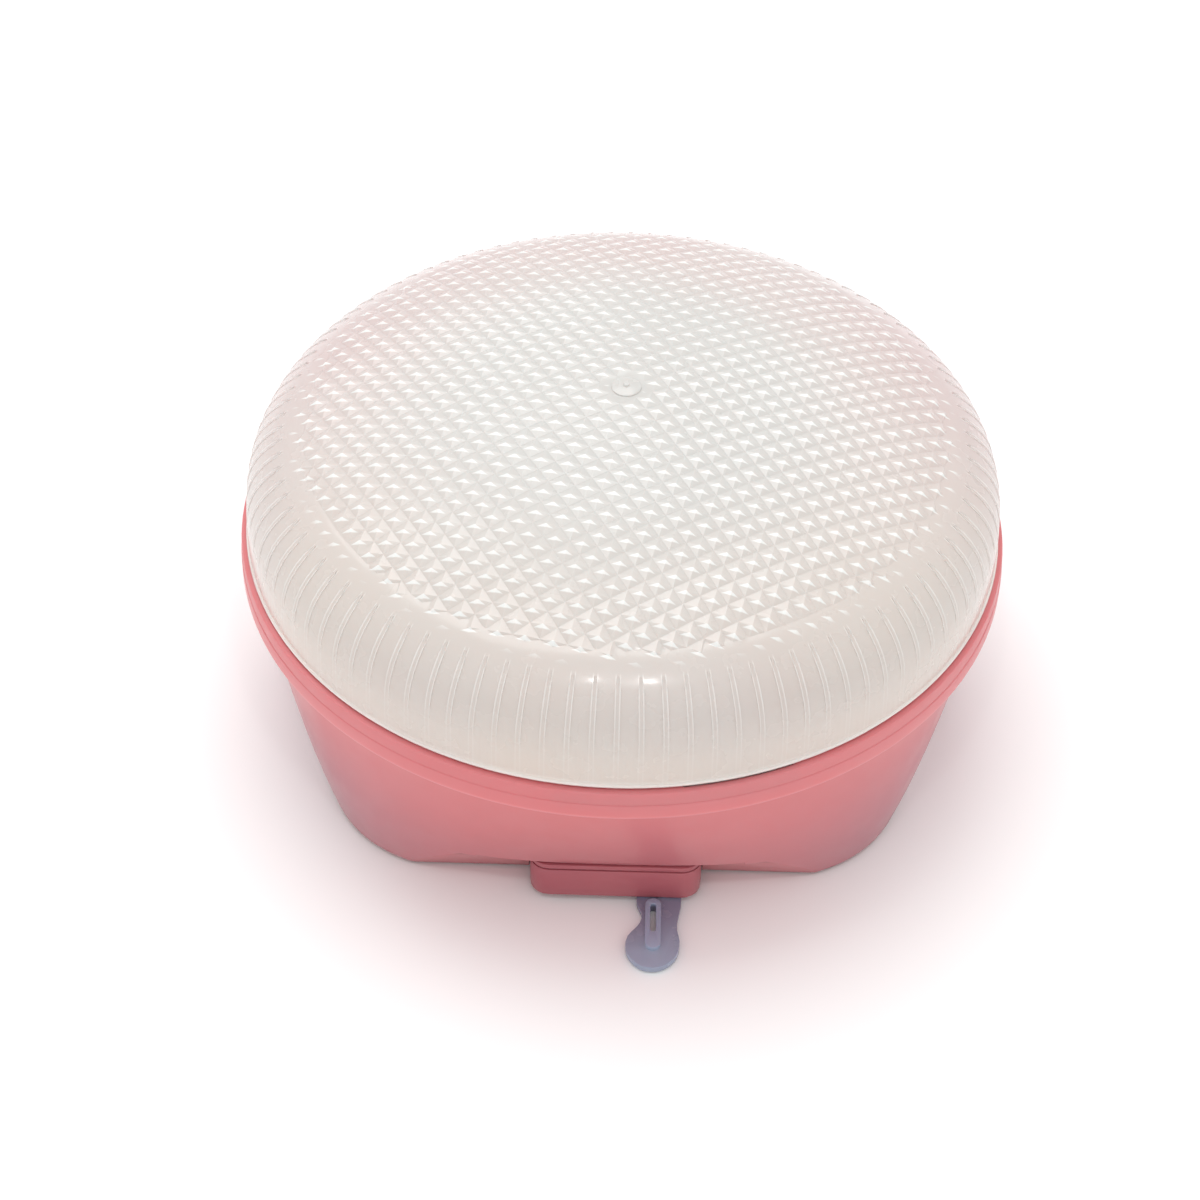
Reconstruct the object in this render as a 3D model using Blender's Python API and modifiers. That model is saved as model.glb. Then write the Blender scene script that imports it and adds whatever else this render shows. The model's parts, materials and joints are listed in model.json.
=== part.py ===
"""Battery dome lamp with a built-in pull switch, lying on its back with the lens up.

+Z runs from the flat back to the lens, +X to the right, and the pull tab leaves towards -Y.
The origin is the middle of the flat back. Dimensions below are in millimetres, and MM turns
them into Blender's metres.
"""

import math

import bmesh
import bpy
from mathutils import Matrix, Vector

MM = 0.001
GAP = 0.3                                  # between pieces that rest on or sit in each other

# Housing: a round rim over a wall that runs down to a rounded square foot
RIM_R, RIM_Z, RIM_HEIGHT, RIM_EASE = 60.3, 34.5, 5.2, 0.3
RIM_BORE_R, LEDGE_Z = 58.1, 30.0
WALL_TOP_R, WALL_T = 58.5, 2.0
FOOT_HALF, FOOT_POWER, FOOT_Z, FOOT_FILLET = 47.2, 3.7, 0.3, 1.06
WALL_CURVE, SQUARING_CURVE = 1.163, 1.678
WALL_STEPS, SIDES = 5, 72
FLAT_FOOT_Y, FLAT_TOP_Y, FLAT_TOP_Z, PANEL_T, PANEL_X, PANEL_TOP = -43.6, -48.9, 8.4, 1.8, 34.0, 9.6

# Rear cover, its screws and its keyholes
COVER_HALF_X, COVER_HALF_Y, COVER_T, COVER_CORNER, BULGE_STEPS = 35.6, 42.8, 2.0, 7.0, 20
COVER_SCREWS = [(x, y) for x in (-31.5, 31.5) for y in (-38.0, 38.0)]
BOSS_R, BOSS_TOP, PILOT_R, PILOT_TOP = 3.0, 9.0, 1.6, 9.5
SCREW_HEAD_R, SCREW_HEAD_T, SCREW_R = 2.6, 0.9, 1.25
KEYHOLE_X, KEYHOLE_Y, KEYHOLE_R, KEYHOLE_SLOT_R, KEYHOLE_RISE = 20.0, -13.0, 3.75, 2.1, 8.0

# Battery door, tray and cells
DOOR_HALF_X, DOOR_Y, DOOR_Z = 24.2, (4.5, 45.4), (0.15, 1.95)
TONGUE, TONGUE_Z = 2.0, 1.35
RAIL_OUT, RAIL_Z = 28.2, 3.3
TRAY_HALF_X, TRAY_Y, TRAY_Z, TRAY_WALL = 27.4, (4.2, 40.2), (3.6, 14.7), 1.5
CELL_R, CELL_BODY, CELL_NUB_R, CELL_NUB = 5.25, 43.5, 2.2, 1.0
CELL_Y, CELL_Z, CONTACT_X, CONTACT_T = (11.0, 22.2, 33.4), 7.55, 25.2, 0.4
CONTACT_Z = (4.2, 12.6)
TERMINAL_TOP = 16.2

# Lens: a dome over a skirt with bayonet lugs
LENS_R, LENS_RISE, LENS_T = 59.1, 26.64, 2.0
LENS_RADIAL_POWER, LENS_RISE_POWER = 1.59, 3.9
LENS_FOOT_Z, SKIRT_R, SKIRT_BORE_R, SKIRT_Z, STEP_Z = 34.8, 57.8, 55.2, 31.6, 36.0
LENS_STEPS = 9
LUG_ANGLES, LUG_HALF, LUG_R, LUG_Z, LENS_TWIST = (30.0, 150.0, 270.0), 7.0, 59.0, (31.9, 33.2), 18.0
GROOVE_R, GROOVE_Z, GROOVE_MARGIN = 59.4, (31.6, 33.5), 1.5

# Reflector, LED board and LEDs
DISH_FLANGE_R, DISH_FLANGE_Z, DISH_LIP_R = 57.6, (30.3, 31.3), 54.0
DISH_FLOOR_R, DISH_FLOOR_Z, DISH_T = 40.0, 22.2, 1.2
LED_X, LED_HOLE_R, LED_R, LED_FLANGE_R, LED_TOP = 10.0, 3.2, 2.5, 2.8, 25.2
BOARD_R, BOARD_Z, BOARD_T = 20.0, 17.5, 1.2
POST_X, POST_R, POST_FOOT, BOARD_SCREW_R = 16.0, 2.2, 19.0, 0.8

# Switch box in the front notch, and the works inside it
BOX_X, BOX_Y, BOX_Z, BOX_CORNER = (-12.7, 13.5), (-50.5, -23.7), (1.5, 7.0), 3.0
BOX_WALL, BOX_FLOOR, LID_T = 1.3, 1.2, 0.8
EAR, EAR_Y, EAR_Z, EAR_SCREW = 6.8, (-33.0, -27.0), (4.3, 5.8), 3.8
TAB_Z, TAB_RIDGE_TOP, TAB_TRAVEL = (0.2, 1.2), 1.9, 6.0
RIDGE_X, RIDGE_Y, RIDGE_R, SLOT_Y, SLOT_R = 6.3, (-52.3, -59.7), 1.2, (-52.6, -57.2), 0.45
SLIDER_X, SLIDER_Y, SLIDER_Z = (5.7, 10.6), (-39.5, -26.5), (3.0, 4.4)
NECK_X, NECK_Y, PEG_R = (6.0, 8.8), (-32.0, -29.0), 0.9
SHAFT_X, SHAFT_Y, SHAFT_R, BORE_R = 0.6, -36.0, 1.0, 1.15
PINION_TEETH, PINION_PITCH_R, PINION_ROOT_R, PINION_TIP_R = 10, 4.0, 3.1, 4.65
TOOTH_ROOT_HALF, TOOTH_TIP_HALF = 0.5, 0.24
RACK_TIP_X, RACK_TEETH = 4.0, 5
RATCHET_TEETH, RATCHET_TIP_R, RATCHET_ROOT_R, RATCHET_Z = 12, 5.6, 4.8, (4.7, 6.4)
SPRING_X, SPRING_Z, SPRING_COIL_R, SPRING_WIRE_R = 8.9, 4.85, 1.3, 0.2
LEAF_T, LEAF_Z = 0.4, (3.2, 6.4)
LEAF_XS = {"contact_leaf_outer": -10.9, "contact_leaf_inner": -8.6}

PINK = ((0.80, 0.24, 0.27), 0.42, 0.0)
PINK_DARK = ((0.50, 0.10, 0.13), 0.45, 0.0)
LILAC = ((0.42, 0.40, 0.55), 0.35, 0.0)
MILK = ((0.90, 0.87, 0.84), 0.30, 0.0)
WHITE = ((0.86, 0.86, 0.84), 0.45, 0.0)
BOARD_GREEN = ((0.05, 0.22, 0.10), 0.5, 0.0)
LED_CLEAR = ((0.95, 0.90, 0.60), 0.15, 0.0)
RESISTOR_TAN = ((0.62, 0.50, 0.32), 0.5, 0.0)
CELL_SLEEVE = ((0.10, 0.16, 0.30), 0.3, 0.0)
NICKEL = ((0.72, 0.71, 0.68), 0.25, 1.0)
BRASS = ((0.78, 0.58, 0.26), 0.3, 1.0)
STEEL = ((0.60, 0.60, 0.60), 0.3, 1.0)
RED_WIRE = ((0.60, 0.03, 0.03), 0.5, 0.0)
BLACK_WIRE = ((0.02, 0.02, 0.02), 0.5, 0.0)

for old in list(bpy.data.objects):
    bpy.data.objects.remove(old, do_unlink=True)
PARTS = bpy.data.collections.new("pull_switch_dome_lamp")
TOOLS = bpy.data.collections.new("cutters")
for group in (PARTS, TOOLS):
    bpy.context.scene.collection.children.link(group)


# ---------------------------------------------------------------- helpers

def material(finish):
    """The Principled material for a finish, made once."""
    colour, roughness, metallic = finish
    name = "finish_" + "_".join(f"{round(c * 100):02d}" for c in (*colour, roughness))
    found = bpy.data.materials.get(name)
    if found:
        return found
    made = bpy.data.materials.new(name)
    made.use_nodes = True
    shader = made.node_tree.nodes["Principled BSDF"]
    shader.inputs["Base Color"].default_value = (*colour, 1.0)
    shader.inputs["Roughness"].default_value = roughness
    shader.inputs["Metallic"].default_value = metallic
    return made


def keep(piece, name, finish=None):
    """Names a piece and files it: with a finish it is a part, without one it is a tool."""
    piece.name = name
    piece.data.name = name
    for group in list(piece.users_collection):
        group.objects.unlink(piece)
    if finish is None:
        TOOLS.objects.link(piece)
        piece.hide_render = True
        piece.display_type = "WIRE"
    else:
        PARTS.objects.link(piece)
        piece.data.materials.clear()
        piece.data.materials.append(material(finish))
    return piece


def box(name, x, y, z, finish=None):
    """A box between two values on each axis."""
    bpy.ops.mesh.primitive_cube_add(size=1, location=[sum(span) / 2 * MM for span in (x, y, z)])
    piece = bpy.context.active_object
    piece.data.transform(Matrix.Diagonal([abs(b - a) * MM for a, b in (x, y, z)] + [1]))
    return keep(piece, name, finish)


def cylinder(name, centre, radius, z, finish=None, sides=24, axis="Z"):
    """A cylinder at centre (x, y) between two heights, or along X at centre (y, z)."""
    length, middle = abs(z[1] - z[0]) * MM, sum(z) / 2 * MM
    across = [value * MM for value in centre]
    place = (*across, middle) if axis == "Z" else (middle, *across)
    turn = (0, 0, 0) if axis == "Z" else (0, math.pi / 2, 0)
    bpy.ops.mesh.primitive_cylinder_add(
        vertices=sides, radius=radius * MM, depth=length, location=place, rotation=turn)
    smooth(bpy.context.active_object)
    return keep(bpy.context.active_object, name, finish)


def smooth(piece, angle=35):
    """Smooth shading on round faces, with the edges past this angle kept sharp."""
    piece.data.shade_smooth()
    piece.data.set_sharp_from_angle(angle=math.radians(angle))


def new_object(name, data, finish):
    piece = bpy.data.objects.new(name, data)
    bpy.context.scene.collection.objects.link(piece)
    return keep(piece, name, finish)


def turned(name, profile, finish=None, sides=SIDES):
    """A profile of (radius, height) points turned about Z. It runs down the outer side."""
    points = [Vector((radius, 0, height)) * MM for radius, height in profile]
    edges = [(i, i + 1) for i in range(len(points) - 1)]
    data = bpy.data.meshes.new(name)
    data.from_pydata(points, edges, [])
    piece = new_object(name, data, finish)
    screw = piece.modifiers.new("turn", "SCREW")
    screw.steps = screw.render_steps = sides
    screw.use_merge_vertices = True
    screw.merge_threshold = 0.00001
    return piece


def flat(name, points, z, finish=None, kind="POLY", sharp=()):
    """A flat outline between two heights, as a mesh. BEZIER outlines are smooth but at sharp."""
    curve = bpy.data.curves.new(name, "CURVE")
    curve.dimensions = "2D"
    curve.fill_mode = "BOTH"
    curve.extrude = abs(z[1] - z[0]) / 2 * MM
    curve.resolution_u = 5
    spline = curve.splines.new(kind)
    spline.use_cyclic_u = True
    if kind == "POLY":
        spline.points.add(len(points) - 1)
        for point, (x, y) in zip(spline.points, points):
            point.co = (x * MM, y * MM, 0, 1)
    else:
        spline.bezier_points.add(len(points) - 1)
        for i, (point, (x, y)) in enumerate(zip(spline.bezier_points, points)):
            point.co = (x * MM, y * MM, 0)
            handle = "VECTOR" if i in sharp else "AUTO"
            point.handle_left_type = point.handle_right_type = handle
    raw = bpy.data.objects.new("outline", curve)
    bpy.context.scene.collection.objects.link(raw)
    raw.location.z = sum(z) / 2 * MM
    return solid_of(raw, name, finish)


def solid_of(raw, name, finish):
    """A curve object turned into a mesh whose caps are welded to its sides."""
    bpy.context.view_layer.update()
    seen = raw.evaluated_get(bpy.context.evaluated_depsgraph_get())
    data = bpy.data.meshes.new_from_object(seen)
    mesh = bmesh.new()
    mesh.from_mesh(data)
    bmesh.ops.remove_doubles(mesh, verts=mesh.verts, dist=1e-6)
    bmesh.ops.recalc_face_normals(mesh, faces=mesh.faces)
    mesh.to_mesh(data)
    mesh.free()
    piece = new_object(name, data, finish)
    piece.matrix_world = raw.matrix_world.copy()
    bpy.data.objects.remove(raw)
    return piece


def tube(name, points, radius, finish, resolution=2):
    """A round wire along a list of points."""
    curve = bpy.data.curves.new(name, "CURVE")
    curve.dimensions = "3D"
    curve.bevel_depth = radius * MM
    curve.bevel_resolution = resolution
    curve.use_fill_caps = True
    spline = curve.splines.new("POLY")
    spline.points.add(len(points) - 1)
    for point, place in zip(spline.points, points):
        point.co = (*[value * MM for value in place], 1)
    return new_object(name, curve, finish)


def combine(piece, operation, others):
    for other in others:
        change = piece.modifiers.new(other.name, "BOOLEAN")
        change.operation = operation
        change.object = other
    return piece


def cut(piece, *others):
    return combine(piece, "DIFFERENCE", others)


def fuse(piece, *others):
    return combine(piece, "UNION", others)


def rounded(x, y, radii, steps=5):
    """A rectangle's outline, anticlockwise from its low corner, with a radius for each corner."""
    corners = [(x[0], y[0], 180), (x[1], y[0], 270), (x[1], y[1], 0), (x[0], y[1], 90)]
    points = []
    for (cx, cy, start), radius in zip(corners, radii):
        if not radius:
            points.append((cx, cy))
            continue
        middle = (cx + radius * (1 if cx == x[0] else -1), cy + radius * (1 if cy == y[0] else -1))
        for i in range(steps + 1):
            angle = math.radians(start + 90 * i / steps)
            point = (middle[0] + radius * math.cos(angle), middle[1] + radius * math.sin(angle))
            if not points or math.dist(point, points[-1]) > 1e-3:
                points.append(point)
    return points


def sector(name, radii, angles, z, finish=None, steps=8):
    """A block between two radii and two angles, in degrees."""
    turns = [math.radians(angles[0] + (angles[1] - angles[0]) * i / steps) for i in range(steps + 1)]
    outer = [(radii[1] * math.cos(t), radii[1] * math.sin(t)) for t in turns]
    inner = [(radii[0] * math.cos(t), radii[0] * math.sin(t)) for t in reversed(turns)]
    return flat(name, outer + inner, z, finish)


def smooth_route(knots, steps=7):
    """Points on one smooth curve through the knots."""
    ends = [Vector(knots[0]) * 2 - Vector(knots[1]), Vector(knots[-1]) * 2 - Vector(knots[-2])]
    chain = [ends[0], *[Vector(k) for k in knots], ends[1]]
    points = []
    for a, b, c, d in zip(chain, chain[1:], chain[2:], chain[3:]):
        for i in range(steps):
            t = i / steps
            points.append(0.5 * (2 * b + (c - a) * t + (2 * a - 5 * b + 4 * c - d) * t ** 2
                                 + (3 * b - a - 3 * c + d) * t ** 3))
    return points + [Vector(knots[-1])]


def coil(along, radius, turns, end, place, per_turn=10):
    """Points of a coil of this length, placed by a function of (distance, across, up)."""
    count = turns * per_turn
    return [place(end + along * i / count, radius * math.cos(2 * math.pi * i / per_turn),
                  radius * math.sin(2 * math.pi * i / per_turn)) for i in range(count + 1)]


def carrier(name, place, *pieces):
    """An empty on a joint's axis, with the pieces that move on it parented to it."""
    empty = bpy.data.objects.new(name, None)
    PARTS.objects.link(empty)
    empty.location = Vector(place) * MM
    bpy.context.view_layer.update()
    for piece in pieces:
        piece.parent = empty
        piece.matrix_parent_inverse = empty.matrix_world.inverted()


# ---------------------------------------------------------------- housing

def wall_share(z):
    """0 at the rim's foot and 1 at the wall's own foot."""
    bottom = FOOT_Z + FOOT_FILLET
    return (RIM_Z - RIM_HEIGHT - z) / (RIM_Z - RIM_HEIGHT - bottom)


def wall_section(z, inset=0.0):
    """The wall's half width at a height, and how square it is there."""
    share = min(max(wall_share(z), 0.0), 1.0)
    half = WALL_TOP_R + (FOOT_HALF - WALL_TOP_R) * share ** WALL_CURVE
    return half - inset, 2 + (FOOT_POWER - 2) * share ** SQUARING_CURVE, z


def superellipse(half, power, angle):
    """A point on a superellipse, in the direction of this angle."""
    c, s = math.cos(angle), math.sin(angle)
    reach = half / (abs(c) ** power + abs(s) ** power) ** (1 / power)
    return reach * c, reach * s


def loft(name, sections, finish=None, ring_closed=True):
    """Rings of one superellipse each, bridged in order. Open lofts are capped at both ends."""
    mesh = bmesh.new()
    rings = []
    for half, power, z in sections:
        ring = []
        for i in range(SIDES):
            across, along = superellipse(half, power, 2 * math.pi * i / SIDES)
            ring.append(mesh.verts.new(Vector((across, along, z)) * MM))
        rings.append(ring)
    pairs = list(zip(rings, rings[1:]))
    if ring_closed:
        pairs.append((rings[-1], rings[0]))
    for low, high in pairs:
        for i in range(SIDES):
            j = (i + 1) % SIDES
            mesh.faces.new((low[i], low[j], high[j], high[i]))
    if not ring_closed:
        mesh.faces.new(reversed(rings[0]))
        mesh.faces.new(rings[-1])
    bmesh.ops.recalc_face_normals(mesh, faces=mesh.faces)
    data = bpy.data.meshes.new(name)
    mesh.to_mesh(data)
    mesh.free()
    return new_object(name, data, finish)


def leaning(name, outline, x):
    """An outline of (y, z) points carried from one x to another."""
    piece = flat(name, [(-height, across) for across, height in outline], x)
    piece.rotation_euler.y = math.pi / 2
    piece.location = (sum(x) / 2 * MM, 0, 0)
    return piece


def make_housing():
    fillet_top, rim_foot = FOOT_Z + FOOT_FILLET, RIM_Z - RIM_HEIGHT
    heights = [fillet_top + (rim_foot - fillet_top) * i / WALL_STEPS for i in range(WALL_STEPS + 1)]
    foot = [(FOOT_HALF - FOOT_FILLET * 0.7, FOOT_POWER, FOOT_Z),
            (FOOT_HALF - FOOT_FILLET * 0.2, FOOT_POWER, FOOT_Z + FOOT_FILLET * 0.4)]
    outer = foot + [wall_section(z) for z in heights]
    rim = [(RIM_R, 2, rim_foot), (RIM_R, 2, RIM_Z - RIM_EASE), (RIM_R - RIM_EASE, 2, RIM_Z),
           (RIM_BORE_R, 2, RIM_Z), (RIM_BORE_R, 2, LEDGE_Z)]
    inner = [(WALL_TOP_R - WALL_T, 2, LEDGE_Z)] + [wall_section(z, WALL_T) for z in reversed(heights)]
    inner.append((FOOT_HALF - WALL_T, FOOT_POWER, FOOT_Z))
    housing = loft("housing", outer + rim + inner, PINK)
    smooth(housing)

    envelope = loft("boss_envelope", [wall_section(z, 0.8) for z in (-1, *heights[1:3], BOSS_TOP + 6)],
                    ring_closed=False)
    panel = leaning("front_panel", [(FLAT_FOOT_Y - 1, FOOT_Z), (FLAT_TOP_Y - 2, PANEL_TOP),
                    (FLAT_TOP_Y + PANEL_T, PANEL_TOP), (FLAT_FOOT_Y + PANEL_T, FOOT_Z + 1),
                    (FLAT_FOOT_Y + PANEL_T, FOOT_Z)], (-PANEL_X, PANEL_X))
    fuse(housing, combine(panel, "INTERSECT", [envelope]))
    slope = (FLAT_TOP_Y - FLAT_FOOT_Y) / (FLAT_TOP_Z - FOOT_Z)
    cutters = [
        leaning("front_flat", [(FLAT_FOOT_Y - slope * (FOOT_Z + 1), -1), (FLAT_TOP_Y, FLAT_TOP_Z),
                (-RIM_R, FLAT_TOP_Z), (-RIM_R, -1)], (-RIM_R, RIM_R)),
        box("switch_opening", (BOX_X[0] - GAP, BOX_X[1] + GAP), (-RIM_R, BOX_Y[1] + GAP), (-1, FLAT_TOP_Z)),
        flat("cover_pocket", rounded((-COVER_HALF_X - GAP, COVER_HALF_X + GAP), (-COVER_HALF_Y - GAP,
             COVER_HALF_Y + GAP), (COVER_CORNER,) * 4), (-1, COVER_T + GAP)),
        box("door_exit", (-DOOR_HALF_X - TONGUE - 1.1, DOOR_HALF_X + TONGUE + 1.1), (40, 52),
            (-2, COVER_T + 0.9)),
    ]
    for i, angle in enumerate(LUG_ANGLES):
        low, high = angle - LUG_HALF - GROOVE_MARGIN, angle + LUG_HALF + GROOVE_MARGIN
        cutters.append(sector(f"bayonet_groove_{i}", (RIM_BORE_R - 1, GROOVE_R),
                              (low, high + LENS_TWIST), GROOVE_Z))
        cutters.append(sector(f"bayonet_entry_{i}", (RIM_BORE_R - 2, LENS_R),
                              (low + LENS_TWIST, high + LENS_TWIST - 0.5),
                              (GROOVE_Z[1] - 0.5, RIM_Z + 1)))
    for i, (x, y) in enumerate(COVER_SCREWS):
        boss = cylinder(f"boss_{i}", (x, y), BOSS_R, (COVER_T - 1, BOSS_TOP))
        reach = math.hypot(x, y)
        rib = box(f"boss_rib_{i}", (reach, reach + 12), (-0.8, 0.8), (COVER_T - 0.8, BOSS_TOP - 1))
        rib.data.transform(Matrix.Translation(rib.location))
        rib.location = (0, 0, 0)
        rib.rotation_euler.z = math.atan2(y, x)
        combine(fuse(boss, rib), "INTERSECT", [envelope])
        fuse(housing, boss)
        cutters.append(cylinder(f"pilot_{i}", (x, y), PILOT_R, (0, PILOT_TOP - 1.5), sides=16))
    cut(housing, *cutters)
    for change in housing.modifiers:
        change.solver = "MANIFOLD"     # EXACT leaves open edges where the grooves meet the rim
    return housing


# ---------------------------------------------------------------- rear cover and battery door

def cover_outline():
    """A rectangle whose two sides bulge out to fill the foot, a gap inside its wall."""
    corners = rounded((-COVER_HALF_X, COVER_HALF_X), (-COVER_HALF_Y, COVER_HALF_Y), (COVER_CORNER,) * 4)
    half = FOOT_HALF - WALL_T - GAP
    meet_y = (half ** FOOT_POWER - COVER_HALF_X ** FOOT_POWER) ** (1 / FOOT_POWER)
    widest = math.atan2(meet_y, COVER_HALF_X)
    turns = [widest * (2 * i / BULGE_STEPS - 1) for i in range(BULGE_STEPS + 1)]
    right = [superellipse(half, FOOT_POWER, turn) for turn in turns]
    left = [(-x, -y) for x, y in right]
    middle = len(corners) // 2
    return corners[:middle] + right + corners[middle:] + left


def make_rear_cover():
    cover = flat("rear_cover", cover_outline(), (0, COVER_T), PINK_DARK)
    top_y = COVER_HALF_Y + 1
    opening = DOOR_HALF_X + GAP
    groove = DOOR_HALF_X + TONGUE + GAP
    added = [box(f"rail_{tag}", (side * (opening - 1), side * RAIL_OUT),
                 (DOOR_Y[0] - 2, COVER_HALF_Y - 0.2), (COVER_T - 0.5, RAIL_Z))
             for side, tag in ((-1, "left"), (1, "right"))]
    for i, x in enumerate((BOX_X[0] - EAR_SCREW, BOX_X[1] + EAR_SCREW)):
        added.append(cylinder(f"ear_boss_{i}", (x, sum(EAR_Y) / 2), 2.6, (COVER_T - 0.5, 4.0)))
    removed = [
        box("door_opening", (-opening, opening), (DOOR_Y[0] - GAP, top_y), (-1, RAIL_Z + 1)),
        box("door_groove", (-groove, groove), (DOOR_Y[0] - GAP - 0.4, top_y + 1),
            (TONGUE_Z - GAP, COVER_T + GAP)),
        box("cover_front_opening", (BOX_X[0] - GAP, BOX_X[1] + GAP), (-COVER_HALF_Y - 1, BOX_Y[1] + GAP),
            (-1, COVER_T + 1)),
    ]
    for i, (x, y) in enumerate(COVER_SCREWS):
        removed.append(cylinder(f"screw_hole_{i}", (x, y), SCREW_R + GAP, (-1, COVER_T + 1), sides=16))
        removed.append(cylinder(f"screw_sink_{i}", (x, y), SCREW_HEAD_R + GAP, (-1, 1.3)))
    for i, x in enumerate((BOX_X[0] - EAR_SCREW, BOX_X[1] + EAR_SCREW)):
        removed.append(cylinder(f"ear_pilot_{i}", (x, sum(EAR_Y) / 2), SCREW_R + GAP, (0.9, 5), sides=16))
    for i, x in enumerate((-KEYHOLE_X, KEYHOLE_X)):
        head = cylinder(f"keyhole_{i}", (x, KEYHOLE_Y), KEYHOLE_R, (-1, COVER_T + 1))
        neck = (x - KEYHOLE_SLOT_R, x + KEYHOLE_SLOT_R)
        reach = (KEYHOLE_Y, KEYHOLE_Y + KEYHOLE_RISE + KEYHOLE_SLOT_R)
        round_end = (0, 0, KEYHOLE_SLOT_R, KEYHOLE_SLOT_R)
        slot = flat(f"keyhole_neck_{i}", rounded(neck, reach, round_end), (-1, COVER_T + 1))
        removed += [head, slot]
    return cut(fuse(cover, *added), *removed)


def make_battery_door():
    door = box("battery_door", (-DOOR_HALF_X, DOOR_HALF_X), DOOR_Y, DOOR_Z, PINK_DARK)
    tongues = box("door_tongues", (-DOOR_HALF_X - TONGUE, DOOR_HALF_X + TONGUE), DOOR_Y,
                  (TONGUE_Z, DOOR_Z[1]))
    grips = [box(f"thumb_groove_{i}", (-9, 9), (32 + 2.4 * i, 33.1 + 2.4 * i), (-1, 0.65))
             for i in range(4)]
    cut(fuse(door, tongues), *grips)
    carrier("door_slide_axis", (0, DOOR_Y[0], 0), door)


def make_cover_screws():
    for i, (x, y) in enumerate(COVER_SCREWS):
        head = (0.15, 0.15 + SCREW_HEAD_T)
        screw = cylinder(f"cover_screw_{i + 1}", (x, y), SCREW_HEAD_R, head, STEEL, sides=20)
        shank = cylinder(f"cover_shank_{i}", (x, y), SCREW_R, (head[0] + 0.3, PILOT_TOP - 2), sides=12)
        cross = [box(f"drive_{i}_{j}", (x - a, x + a), (y - b, y + b), (-1, 0.5))
                 for j, (a, b) in enumerate(((1.4, 0.3), (0.3, 1.4)))]
        cut(fuse(screw, shank), *cross)


# ---------------------------------------------------------------- battery bay

def make_battery_tray():
    tray = box("battery_tray", (-TRAY_HALF_X, TRAY_HALF_X), TRAY_Y, TRAY_Z, WHITE)
    inner_x, inner_y = TRAY_HALF_X - TRAY_WALL, (TRAY_Y[0] + 1.2, TRAY_Y[1] - 1.2)
    hollow = box("tray_hollow", (-inner_x, inner_x), inner_y, (TRAY_Z[0] - 1, TRAY_Z[1] - TRAY_WALL))
    slots = [box(f"terminal_slot_{i}", sorted((side * (CONTACT_X - GAP), side * (CONTACT_X + 0.75))),
                 (y - 3.3, y + 3.3), (TRAY_Z[1] - 3, TRAY_Z[1] + 1))
             for i, (side, y) in enumerate(((-1, CELL_Y[0]), (1, CELL_Y[2])))]
    return cut(tray, hollow, *slots)


def make_cells():
    """Three cells in series, the middle one the other way round, with a spring at each flat end."""
    nub_end = CONTACT_X - GAP
    profile = [(0, nub_end), (CELL_NUB_R, nub_end), (CELL_NUB_R, nub_end - CELL_NUB),
               (CELL_R - 0.5, nub_end - CELL_NUB), (CELL_R, nub_end - CELL_NUB - 0.5),
               (CELL_R, nub_end - CELL_NUB - CELL_BODY + 0.5),
               (CELL_R - 0.5, nub_end - CELL_NUB - CELL_BODY), (0, nub_end - CELL_NUB - CELL_BODY)]
    flat_end = nub_end - CELL_NUB - CELL_BODY
    for i, y in enumerate(CELL_Y):
        side = -1 if i == 1 else 1
        cell = turned(f"battery_cell_{i + 1}", profile, CELL_SLEEVE, sides=24)
        cell.location = Vector((0, y, CELL_Z)) * MM
        cell.rotation_euler.y = side * math.pi / 2
        start, length = -side * (CONTACT_X - 0.65), side * (CONTACT_X - 0.65 + flat_end - 0.65)
        points = coil(length, 2.6, 4, start, lambda d, a, b, y=y: (d, y + a, CELL_Z + b), per_turn=9)
        tube(f"battery_spring_{i + 1}", points, 0.35, NICKEL, resolution=1)


def make_contacts():
    """Two bridges between neighbouring cells, and the two terminals, whose tails reach the wires."""
    plates = {
        "contact_bridge_right": (1, CELL_Y[0] - 4, CELL_Y[1] + 4, CONTACT_Z[1]),
        "contact_bridge_left": (-1, CELL_Y[1] - 4, CELL_Y[2] + 4, CONTACT_Z[1]),
        "terminal_negative": (-1, CELL_Y[0] - 3, CELL_Y[0] + 3, TERMINAL_TOP),
        "terminal_positive": (1, CELL_Y[2] - 3, CELL_Y[2] + 3, TERMINAL_TOP),
    }
    for name, (side, low, high, top) in plates.items():
        box(name, (side * CONTACT_X, side * (CONTACT_X + CONTACT_T)), (low, high),
            (CONTACT_Z[0], top), NICKEL)


# ---------------------------------------------------------------- lens

def dome(radius, rise, foot_z, steps=LENS_STEPS):
    """Points down a dome from its top to its foot."""
    points = []
    for i in range(steps + 1):
        angle = math.pi / 2 * i / steps
        across = radius * math.sin(angle) ** (2 / LENS_RADIAL_POWER)
        up = rise * max(math.cos(angle), 0.0) ** (2 / LENS_RISE_POWER)
        points.append((across, foot_z + up))
    points[0], points[-1] = (0.0, foot_z + rise), (radius, foot_z)
    return points


def make_lens():
    outer = dome(LENS_R, LENS_RISE - (LENS_FOOT_Z - RIM_Z), LENS_FOOT_Z)
    inner = dome(LENS_R - LENS_T, RIM_Z + LENS_RISE - LENS_T - STEP_Z, STEP_Z)
    skirt = [(SKIRT_R, LENS_FOOT_Z), (SKIRT_R, SKIRT_Z), (SKIRT_BORE_R, SKIRT_Z),
             (SKIRT_BORE_R, STEP_Z - 0.6)]
    lens = turned("lens", outer + skirt + inner[::-1], MILK)
    lugs = [sector(f"lug_{i}", (SKIRT_R - 0.8, LUG_R), (angle - LUG_HALF, angle + LUG_HALF), LUG_Z,
                   steps=4) for i, angle in enumerate(LUG_ANGLES)]
    return fuse(lens, *lugs)


# ---------------------------------------------------------------- reflector and LED board

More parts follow.
